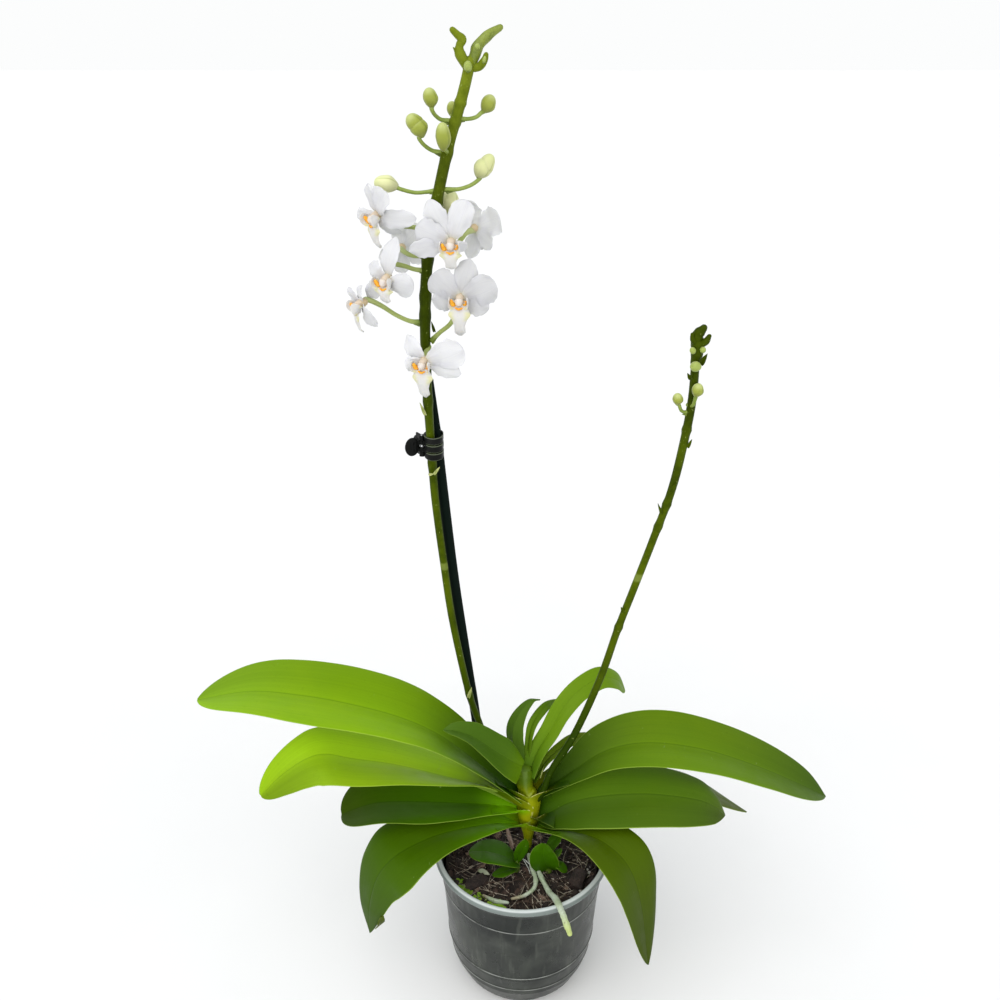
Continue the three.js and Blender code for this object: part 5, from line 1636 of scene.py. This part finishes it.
def lip_shape(reach):
    """The lip: a cross-shaped middle lobe, and two side lobes that stand beside the column."""
    shape = Shape()
    middle = dict(
        midrib=[(0, -0.6, 0.8), (0, -3.0, 3.4), (0, -0.45 * reach, 5.2), (0, -0.8 * reach, 5.0),
                (0, -reach, 3.2)],
        side=(1, 0, 0), widths=(2.2, 2.5, 3.0, 4.8, 6.2, 4.0, 2.9, 3.0, 2.9, 0.8),
        roll=(0, 0), fold=(16, 4), curl=0.2,
    )
    add_blade(shape, middle, 1.2, 36, 18, wave=0.5, waves=4.0, crease=0.3, seed=reach)
    for way in (-1, 1):
        lobe = dict(
            midrib=[(1.2 * way, -1.6, 1.6), (3.4 * way, -2.2, 3.0), (4.9 * way, -0.6, 4.8),
                    (4.7 * way, 2.6, 6.2)],
            side=(0, 0.6, -0.8), half=3.1, base=0.5, widest=0.55, blunt=0.5, round=2.2,
            roll=(0, 10 * way), fold=(10, 14), curl=0.2,
        )
        add_blade(shape, lobe, 0.8, 22, 12, wave=0.3, waves=3.0, crease=0.3, seed=reach + way)
    return shape


def column_girth(t, angle):
    """A slight neck in the column, and the swelling of its cap."""
    return 1 + 0.12 * bell(t - 0.88, 0.1) - 0.1 * bell(t - 0.7, 0.05)


def column_shape():
    """The short column in the middle of a flower."""
    shape = Shape()
    path = [(0, 0.6, -1.2), (0, 0.5, 1.0), (0, 0.1, 2.6), (0, -0.7, 3.9)]
    add_tube(shape, path, [2.3, 2.1, 2.0, 2.1], 18, 26, column_girth)
    return shape


def callus_shape():
    """The orange ridges at the feet of the side lobes and where the lip meets the column."""
    shape = Shape()
    for way in (-1, 1):
        stout = 1.0 if way < 0 else 0.45
        fleck = [(1.9 * way, -2.4, 3.2), (3.4 * way, -1.7, 4.0), (3.9 * way, 0.4, 5.0)]
        add_tube(shape, fleck, [0.8 * stout, 1.4 * stout, 0.9 * stout], 10, 12)
    add_tube(shape, [(-1.8, -3.4, 4.9), (0, -3.9, 5.5), (1.8, -3.4, 4.9)], [0.4, 0.65, 0.4], 10, 10)
    return shape


def lip_material():
    """White to cream lobes, blotched orange near the throat and yellow-green at the ends."""
    wires = Finish("lip_skin")
    made = wires.shared(
        "petal", body=(0.61, 0.6, 0.58), base=(0.62, 0.49, 0.25), tip=(0.61, 0.6, 0.575),
        base_reach=0.26, tip_start=0.9, vein=0.3,
    )
    u, v = wires.surface_place()
    near = wires.times(wires.speckle(420.0, 2.0, 0.55, 0.66), wires.step(v, 0.12, 0.35, 0.6, 0.0))
    tone = wires.blend(near, made["Color"], (0.78, 0.3, 0.02))
    arms = wires.times(wires.step(v, 0.34, 0.42), wires.step(v, 0.5, 0.6, 1.0, 0.0))
    ends = wires.step(wires.distance(u, 0.5), 0.16, 0.4, 0.0, 0.7)
    tone = wires.blend(wires.times(arms, ends), tone, (0.62, 0.6, 0.26))
    more = {"Subsurface Weight": 0.2, "Subsurface Radius": (0.002, 0.0015, 0.001)}
    return wires.done(tone, made["Roughness"], made["Height"], 0.2, more=more)


class ORCHID_OT_flowers(bpy.types.Operator):
    """Make the open flowers: petals and sepals, lip, column, callus and stalk"""

    bl_idname = "orchid.flowers"
    bl_label = "Flowers"

    def execute(self, context):
        settings = context.scene.orchid_flower
        thickness = settings.petal_thickness / MM
        lip, column = lip_material(), tissue("column_skin")
        callus = mottled_material("callus_skin", settings.throat, (0.85, 0.3, 0.01), 600.0, 0.6, 0.45, 0.2)
        skins = tissue("stalk_skin"), natural("bract_skin")
        for index, (name, flower) in enumerate(FLOWERS.items()):
            place = flower_frame(flower)
            # Each flower's own copy of the petal white, made lighter or darker by its tone as painted light
            # and shade.
            body = tuple(flower.get("tone", 1.0) * c for c in settings.white)
            petal = petal_material(f"{name}_petal_skin", body, (0.6, 0.6, 0.5), body, 0.2, 0.85, 0.6)
            shape = moved(petals_shape(flower, thickness, 9.1 * index), place)
            make_piece(f"{name}_petals", shape, petal, [name])
            make_piece(f"{name}_lip", moved(lip_shape(flower["lip"]), place), lip)
            make_piece(f"{name}_column", moved(column_shape(), place), column)
            make_piece(f"{name}_callus", moved(callus_shape(), place), callus)
            back = place @ Vector((0, -0.2, -0.6))
            make_stalk(name, [back, *flower["stalk"]], FLOWER_STALK, skins)
        return {"FINISHED"}


# ------------------------------------------------------------------ buds


# Each bud's body is one or two lobes of (centre, aim, half length, half width).
BUDS = {
    "bud_1": dict(
        lobes=[((-49, 6, 583.8), (-0.15, -0.15, 1), 4.8, 3.3)],
        stalk=[(-48.3, 6, 578.4), (-47, 8, 576), (-44.2, 10, 573.8), (-40.3, 11.5, 573.1)]),
    "bud_2": dict(
        lobes=[((-56.6, 2, 572.6), (-0.65, -0.2, 0.8), 5.0, 3.7),
               ((-54.9, 2.2, 570.6), (-0.45, -0.2, 0.9), 5.0, 4.0)],
        stalk=[(-54.9, 3, 565.8), (-52.7, 6, 562.3), (-49, 9, 559.5), (-44.7, 11.5, 558.3)]),
    "bud_3": dict(
        lobes=[((-43, 1, 566.3), (0, -0.2, 1), 7.0, 3.4)],
        stalk=[(-42.6, 3, 562.1), (-42.1, 6, 559.9), (-41.5, 9, 558.8), (-41.7, 11.5, 558.8)]),
    "bud_4": dict(
        lobes=[((-21, 14, 580.8), (0.6, 0.1, 1), 4.7, 3.4)],
        stalk=[(-24.5, 14, 576.6), (-26.9, 13, 574.8), (-30.9, 12, 574), (-35.8, 11, 574.2)]),
    "bud_5": dict(
        lobes=[((-39, 20, 578), (-0.1, 0.3, 1), 4, 2.6)],
        stalk=[(-39.7, 20, 576.8), (-39.1, 18, 575), (-38, 15, 574.3), (-36.8, 11.5, 574.5)]),
    "bud_6": dict(
        cream=0.75,
        lobes=[((-22.4, 16, 551.6), (0.55, 0.1, 0.85), 6.4, 3.7),
               ((-24.3, 15.5, 550.2), (0.45, 0, 0.95), 5.2, 4.1)],
        stalk=[(-25.3, 15, 545.5), (-29.9, 14.5, 542.3), (-36, 13.5, 540.5), (-42.7, 12.7, 540.3)]),
    "bud_7": dict(
        cream=1.0, lobes=[((-73, 12, 543), (-1, -0.1, 0.2), 6.4, 4.0)],
        stalk=[(-66.7, 12, 540.9), (-59.1, 12.5, 538.9), (-53, 12.7, 539.1), (-47.8, 12.7, 539.9)]),
    "bud_8": dict(
        cream=1.0, lobes=[((-42, 21, 533), (0.25, 0.3, 1), 6.5, 5)],
        stalk=[(-40.2, 20, 527.1), (-42.3, 18, 525.4), (-44.7, 15, 524.3), (-46.2, 13.5, 524)]),
    "bud_9": dict(
        lobes=[((84, 8, 429), (-0.1, -0.3, 1), 3.7, 2.7)],
        stalk=[(85.3, 9, 425.2), (86.8, 10, 421.9), (88.9, 11.5, 420.2), (90.8, 12.4, 419.9)]),
    "bud_10": dict(
        lobes=[((94.4, 7, 434.5), (0.1, -0.2, 1), 4.2, 3)],
        stalk=[(93.7, 8, 428.5), (93.3, 10, 424.9), (92.1, 12, 423.6), (91.1, 13, 423.9)]),
}


BUD_STALK = dict(
    radii=[1.3, 1.05, 1.0, 1.0, 1.3], sides=10, steps=30,
    bract_foot=(0, -0.5, -1.2), bract_tip=(0, -0.5, -1.3), bract_reach=3.6, bract_width=1.2,
)
BUD_TURN = math.radians(40)


def add_bud(shape, centre, aim, half_length, half_width, spur=0.2):
    """A closed bud with rounded ends: three sepals that meet in fine seams, fuller on one side."""
    axis = Vector(aim).normalized()
    side = across(Vector((0.2, -1.0, 0.1)), axis)
    other = axis.cross(side)
    rings, count, sides = [], 26, 36
    for i in range(1, count):
        t = 0.5 - 0.5 * math.cos(math.pi * i / count)
        swell = math.sqrt(max(1 - abs(2 * t - 1) ** 2.2, 0.0))
        ring = []
        for share, angle, cosine, sine in circle(sides):
            seam = bell(math.sin(1.5 * (angle - BUD_TURN)), 0.1) * swell
            r = half_width * swell * lerp(0.74, 1.06, min(t / 0.5, 1.0) ** 0.8) * (1 - 0.05 * seam)
            r *= 1 + spur * max(math.cos(angle - 1.1), 0.0) ** 2 * bell(t - 0.33, 0.25)
            spot = axis * (half_length * (2 * t - 1)) + side * (r * cosine) + other * (r * sine)
            ring.append(shape.point(Vector(centre) + spot, (share, t), seam))
        rings.append(ring)
    shape.skin(rings)
    shape.fan(rings[0], shape.point(Vector(centre) - axis * half_length, (0.5, 0.0), 0.0))
    shape.fan(rings[-1], shape.point(Vector(centre) + axis * half_length, (0.5, 1.0), 0.0))


class ORCHID_OT_buds(bpy.types.Operator):
    """Make the closed buds and their stalks"""

    bl_idname = "orchid.buds"
    bl_label = "Buds"

    def execute(self, context):
        green, pale = Vector((0.26, 0.3, 0.024)), Vector((0.66, 0.67, 0.35))
        skins = natural("bud_stalk_skin"), natural("bud_bract_skin")
        for name, bud in BUDS.items():
            body = green.lerp(pale, bud.get("cream", 0.0))
            # A paler tip and a darker base (body * 0.7): painted light on top of each bud and painted shade
            # below.
            tip = body.lerp(Vector((0.6, 0.66, 0.28)), 0.5)
            skin = petal_material(f"{name}_skin", body, body * 0.7, tip, 0.6, 0.6, 0.3, 0.12, seams=True)
            shape = Shape()
            for centre, aim, half_length, half_width in bud["lobes"]:
                add_bud(shape, centre, aim, half_length, half_width)
            make_piece(f"{name}_body", shape, skin, [name])
            centre, aim, half_length, _ = bud["lobes"][-1]
            foot = Vector(centre) - Vector(aim).normalized() * half_length * 0.8
            make_stalk(name, [foot, *bud["stalk"]], BUD_STALK, skins)
        return {"FINISHED"}


# ------------------------------------------------------------------ roots


ROOTS = {
    "root_1": dict(
        path=[(7, -3, 101), (10, -12, 99.8), (13, -22, 100), (17, -36, 103), (21, -49, 109.6),
              (24, -60, 111.6), (26.5, -66, 108), (29, -68, 101)],
        radii=[1.4, 1.5, 1.6, 1.7, 2.1, 1.9, 2.1, 1.6], steps=110),
    "root_2": dict(
        path=[(5, -3, 101), (7, -14, 99.8), (9, -23, 99.6), (7.4, -31, 99.6), (1, -36.5, 99.4),
              (-7, -39, 99.2)],
        radii=[1.5, 1.5, 1.5, 1.4, 1.2, 0.9], steps=90),
    "root_3": dict(
        path=[(-10, -42, 99), (-18, -40.5, 99), (-26, -36, 99)], radii=[1.0, 1.5, 1.3, 0.8], steps=40),
}


def root_lumps(seed, length):
    """Slow and fine unevenness in the girth of a root."""

    def girth(t, angle):
        slow = noise.noise(Vector((t * length * 0.35, seed, 0.0)))
        fine = noise.noise(Vector((t * length * 1.3, math.cos(angle) * 1.5, math.sin(angle) * 1.5 + seed)))
        return 1 + 0.22 * slow + 0.16 * fine

    return girth


def twig_lumps(t, angle):
    """Unevenness in the girth of the dry twig."""
    return 1 + 0.2 * noise.noise(Vector((t * 9, angle, 1.0)))


class ORCHID_OT_roots(bpy.types.Operator):
    """Make the roots on the bed and over the rim, and the dry twig"""

    bl_idname = "orchid.roots"
    bl_label = "Roots"

    def execute(self, context):
        for index, (name, root) in enumerate(ROOTS.items()):
            shape = Shape()
            lumps = root_lumps(index * 5.0, root["steps"] / 3)
            add_tube(shape, root["path"], root["radii"], 18, root["steps"], lumps)
            make_piece(f"{name}_skin", shape, self.finish(name), [name])
        shape = Shape()
        fine = [
            [(-0.4, -3, 101), (1.5, -7, 100.2), (4.2, -12, 99), (5.5, -17, 98.6)],
            [(2, -8, 102), (5, -11, 101.5), (9, -12.5, 101), (13, -16, 100)],
        ]
        for points in fine:
            add_tube(shape, points, [0.4, 0.35, 0.3, 0.2], 8, 24)
        make_piece("fine_roots", shape, natural("fine_root_skin"))
        shape = Shape()
        twig = [(-6, 6, 97.6), (-8, 10, 103), (-10, 14, 109), (-12, 17, 114)]
        add_tube(shape, twig, [1.3, 1.5, 1.2, 0.9], 12, 40, twig_lumps)
        make_piece("dry_twig", shape, natural("dry_twig_skin"))
        return {"FINISHED"}

    def finish(self, name):
        """Silvery skin with green showing through, greener towards a growing tip."""
        wires = Finish(f"{name}_silver")
        made = wires.shared("mottle", light=(0.5, 0.56, 0.45), dark=(0.33, 0.4, 0.24), scale=160.0, fleck=0.5)
        tip = (0.42, 0.5, 0.16) if name == "root_1" else (0.3, 0.26, 0.16)
        tone = wires.blend(wires.step(wires.surface_place()[1], 0.72, 0.97), made["Color"], tip)
        tone = wires.blend(wires.speckle(330.0, 3.0, 0.6, 0.72, 0.0, 0.65), tone, (0.12, 0.1, 0.05))
        return wires.done(tone, wires.step(made["Mask"], 0.0, 1.0, 0.55, 0.75), made["Mask"], 0.5)


# ------------------------------------------------------------------ claw clip


CLIP = dict(x=-60.6, y=21.6, z=389.0, height=14.0, middle=(7.1, 0.9), inner=(4.7, 7.1), thickness=1.3)
JAWS = {
    "clip_back_jaw": dict(
        band=(158, 12), web=(0.6, 4.2), knuckles=((0.5, 3.4), (10.6, 13.5)), tab=125, plate=0.78,
        body=PLANT),
    "clip_front_jaw": dict(
        band=(202, 348), web=(-2.8, -0.6), knuckles=((3.7, 5.9), (8.1, 10.3)), tab=205, plate=1.0,
        body="clip_front"),
}
FINGERS = ((0.0, 4.2), (4.9, 9.1), (9.8, 14.0))
# The place halfway across the outer face of a finger, round its section.
BAND_MIDDLE = 3.5 / 8


def band_section(angle, low, high, thickness):
    """One rounded cross-section of the clip's band, in the clip's own frame."""
    a = math.radians(angle)
    centre, inner = CLIP["middle"], CLIP["inner"]
    out = Vector((math.cos(a) / inner[0], math.sin(a) / inner[1], 0.0)).normalized()
    foot = Vector((centre[0] + inner[0] * math.cos(a), centre[1] + inner[1] * math.sin(a), 0.0))
    soft = min(0.35, (high - low) / 3)
    corners = [
        (0.0, low + soft), (soft, low), (thickness - soft, low), (thickness, low + soft),
        (thickness, high - soft), (thickness - soft, high), (soft, high), (0.0, high - soft),
    ]
    return [foot + out * depth + UP * z for depth, z in corners]


def add_band(shape, start, end, low, high):
    """A finger of the band, or its back, between two angles."""
    steps = max(int(abs(end - start) / 5), 2)
    rings = []
    for i in range(steps + 1):
        t = i / steps
        thin = CLIP["thickness"] * (1 - 0.35 * max((t - 0.8) / 0.2, 0.0))
        section = band_section(lerp(start, end, t), low, high, thin)
        rings.append([shape.point(p, (k / 8, t), 0.0) for k, p in enumerate(section)])
    shape.loft(rings)


def add_slab(shape, low, high, soft=0.2):
    """A block with bevelled edges all round."""
    (x0, y0, z0), (x1, y1, z1) = low, high
    rings = []
    for z, inset in ((z0, soft), (z0 + soft, 0.0), (z1 - soft, 0.0), (z1, soft)):
        xa, xb, ya, yb = x0 + inset, x1 - inset, y0 + inset, y1 - inset
        ring = [(xa + soft, ya), (xb - soft, ya), (xb, ya + soft), (xb, yb - soft),
                (xb - soft, yb), (xa + soft, yb), (xa, yb - soft), (xa, ya + soft)]
        rings.append([shape.point((x, y, z)) for x, y in ring])
    shape.loft(rings)


def add_tab(shape, direction, knuckles, size):
    """The round thumb plate with three grip ridges, and a neck to each knuckle."""
    plate = Shape()
    profile = [(0.0, -0.6), (3.1, -0.6), (3.5, -0.35), (3.6, 0.0), (3.5, 0.35), (3.1, 0.6), (0.0, 0.6)]
    add_turned(plate, profile, 40)
    stand = Matrix.Rotation(math.radians(90), 4, "X")
    stretch = Matrix.Diagonal((1.25 * size, 1.0, 1.6 * size, 1.0))
    moved(plate, Matrix.Translation((6.1, 0.0, CLIP["height"] / 2)) @ stretch @ stand)
    for offset in (-1.6, 0.0, 1.6):
        ridge = [(5.9 + offset, 0.0, CLIP["height"] / 2 + z) for z in (-2.6, 0.0, 2.6)]
        add_tube(plate, ridge, [0.75, 0.8, 0.75], 10, 10)
    for low, high in knuckles:
        add_slab(plate, (1.2, -0.6, low), (6.0, 0.6, high))
    moved(plate, Matrix.Rotation(math.radians(direction), 4, "Z"))
    first = len(shape.points)
    shape.points += plate.points
    shape.places += plate.places
    shape.marks += plate.marks
    shape.faces += [tuple(first + i for i in face) for face in plate.faces]


class ORCHID_OT_clip(bpy.types.Operator):
    """Make the claw clip: two jaws, the hinge pin and the spring"""

    bl_idname = "orchid.clip"
    bl_label = "Claw clip"

    def execute(self, context):
        shine = {"Specular IOR Level": 0.12}
        # The clip's black carries painted highlights along the edges of its fingers.
        black = moulded_material("clip_black", (0.002, 0.0025, 0.002), 0.4, 0.03, shine, edge_highlight=True)
        stand = Matrix.Translation((CLIP["x"], CLIP["y"], CLIP["z"]))
        for name, jaw in JAWS.items():
            shape = Shape()
            start, end = jaw["band"]
            split = lerp(start, end, 0.16)
            add_band(shape, start, split, 0.0, CLIP["height"])
            for low, high in FINGERS:
                add_band(shape, split, end, low, high)
            for low, high in jaw["knuckles"]:
                ring = [(0.8, low), (1.8, low), (1.8, high), (0.8, high), (0.8, low)]
                add_turned(shape, ring, 24)
                add_slab(shape, (0.9, jaw["web"][0], low), (3.4, jaw["web"][1], high))
            add_tab(shape, jaw["tab"], jaw["knuckles"], jaw["plate"])
            if name == "clip_back_jaw":
                add_slab(shape, (0.9, 2.3, 3.0), (3.6, 3.3, 11.0))
            make_piece(f"{name}_claw", moved(shape, stand), black, [name], jaw["body"], 35)
        metal = {"Metallic": 1.0}
        wire = moulded_material(
            "spring_wire", (0.6, 0.61, 0.62), 0.22, 0.2, metal, 1500.0, (0.3, 0.27, 0.22), 0.03
        )
        shape = Shape()
        add_turned(shape, [(0.0, 0.3), (0.5, 0.3), (0.7, 0.5), (0.7, 13.5), (0.5, 13.7), (0.0, 13.7)], 20)
        make_piece("hinge_pin", moved(shape, stand), wire, ["clip_pin"])
        shape = Shape()
        turns, count = 3, 60
        coil = []
        for i in range(count + 1):
            angle = FULL_TURN * turns * i / count
            coil.append((1.25 * math.cos(angle), 1.25 * math.sin(angle), lerp(6.35, 7.65, i / count)))
        add_tube(shape, coil, [0.2, 0.2], 8, 3 * count)
        make_piece("spring_coil", moved(shape, stand), wire, ["clip_spring"])
        return {"FINISHED"}


# ------------------------------------------------------------------ stage


CAMERA_PLACE = (-0.015, -0.496, 0.601)
CAMERA_PITCH = 24.9
CAMERA_LENS = 34.2
CAMERA_SENSOR = 36.0


class ORCHID_OT_stage(bpy.types.Operator):
    """Make the camera, the pale floor and the soft lights"""

    bl_idname = "orchid.stage"
    bl_label = "Stage"

    def execute(self, context):
        scene, settings = context.scene, context.scene.orchid_stage
        data = bpy.data.cameras.new("camera")
        data.sensor_width = CAMERA_SENSOR
        data.lens = CAMERA_LENS
        data.clip_start = 0.01
        camera = bpy.data.objects.new("camera", data)
        camera.location = CAMERA_PLACE
        camera.rotation_euler = (math.radians(90 - CAMERA_PITCH), 0.0, 0.0)
        scene.collection.objects.link(camera)
        scene.camera = camera
        mesh = bpy.data.meshes.new("floor")
        reach = 60.0
        corners = [(-reach, -reach, 0.0), (reach, -reach, 0.0), (reach, reach, 0.0), (-reach, reach, 0.0)]
        mesh.from_pydata(corners, [], [(0, 1, 2, 3)])
        floor = bpy.data.objects.new("floor", mesh)
        scene.collection.objects.link(floor)
        wires = Finish("pale_floor")
        dim = [0.97 * c for c in settings.floor]
        made = wires.shared("mottle", light=settings.floor, dark=dim, scale=3.0, fleck=0.1)
        wires.feed(wires.surface.inputs["Base Color"], made["Color"])
        wires.feed(wires.surface.inputs["Roughness"], 0.9)
        mesh.materials.append(wires.material)
        sun = bpy.data.lights.new("soft_sun", "SUN")
        sun.energy = settings.sun
        sun.angle = math.radians(60)
        lamp = bpy.data.objects.new("soft_sun", sun)
        lamp.rotation_euler = Vector((-0.35, -0.42, 0.84)).to_track_quat("Z", "Y").to_euler()
        scene.collection.objects.link(lamp)
        scene.world = bpy.data.worlds.new("soft_sky")
        scene.world.use_nodes = True
        wires = Wires(scene.world.node_tree)
        way = wires.add("ShaderNodeSeparateXYZ", {0: wires.add("ShaderNodeTexCoord").outputs["Generated"]})
        height = way.outputs[2]
        band = wires.blend(wires.step(height, 0.06, 0.2), (1.3, 1.31, 1.31), (1.0, 1.0, 1.0))
        sky = wires.blend(wires.step(height, 0.2, 0.8), band, (1.0, 1.05, 1.1))
        sky = wires.blend(wires.step(way.outputs[1], -0.8, -0.1, 1.0, 0.0), sky, (2.3, 2.3, 2.25))
        background = scene.world.node_tree.nodes["Background"]
        wires.feed(background.inputs["Color"], sky)
        background.inputs["Strength"].default_value = settings.sky
        scene.view_settings.view_transform = "Standard"
        return {"FINISHED"}


# ------------------------------------------------------------------ sidebar and start


SETTINGS = {
    "orchid_pot": PotSettings,
    "orchid_bed": BedSettings,
    "orchid_leaf": LeafSettings,
    "orchid_spike": SpikeSettings,
    "orchid_flower": FlowerSettings,
    "orchid_stage": StageSettings,
}
OPERATORS = (
    ORCHID_OT_stage,
    ORCHID_OT_pot,
    ORCHID_OT_bed,
    ORCHID_OT_crown,
    ORCHID_OT_leaves,
    ORCHID_OT_offsets,
    ORCHID_OT_spikes,
    ORCHID_OT_flowers,
    ORCHID_OT_buds,
    ORCHID_OT_roots,
    ORCHID_OT_clip,
)


class ORCHID_PT_panel(bpy.types.Panel):
    """Lists the orchid's settings and the steps that build it"""

    bl_idname = "ORCHID_PT_panel"
    bl_label = "Potted Orchid"
    bl_space_type = "VIEW_3D"
    bl_region_type = "UI"
    bl_category = "Orchid"

    def draw(self, context):
        for name, kind in SETTINGS.items():
            box = self.layout.box()
            for prop in kind.__annotations__:
                box.prop(getattr(context.scene, name), prop)
        for operator in OPERATORS:
            self.layout.operator(operator.bl_idname)


def register():
    for name, kind in SETTINGS.items():
        bpy.utils.register_class(kind)
        setattr(bpy.types.Scene, name, bpy.props.PointerProperty(type=kind))
    for kind in (*OPERATORS, ORCHID_PT_panel):
        bpy.utils.register_class(kind)


def unregister():
    for kind in (ORCHID_PT_panel, *reversed(OPERATORS)):
        bpy.utils.unregister_class(kind)
    for name, kind in reversed(SETTINGS.items()):
        delattr(bpy.types.Scene, name)
        bpy.utils.unregister_class(kind)


def main():
    """Registers the add-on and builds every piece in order."""
    register()
    bpy.ops.orchid.stage()
    bpy.ops.orchid.pot()
    bpy.ops.orchid.bed()
    bpy.ops.orchid.crown()
    bpy.ops.orchid.leaves()
    bpy.ops.orchid.offsets()
    bpy.ops.orchid.spikes()
    bpy.ops.orchid.flowers()
    bpy.ops.orchid.buds()
    bpy.ops.orchid.roots()
    bpy.ops.orchid.clip()


if __name__ == "__main__":
    main()
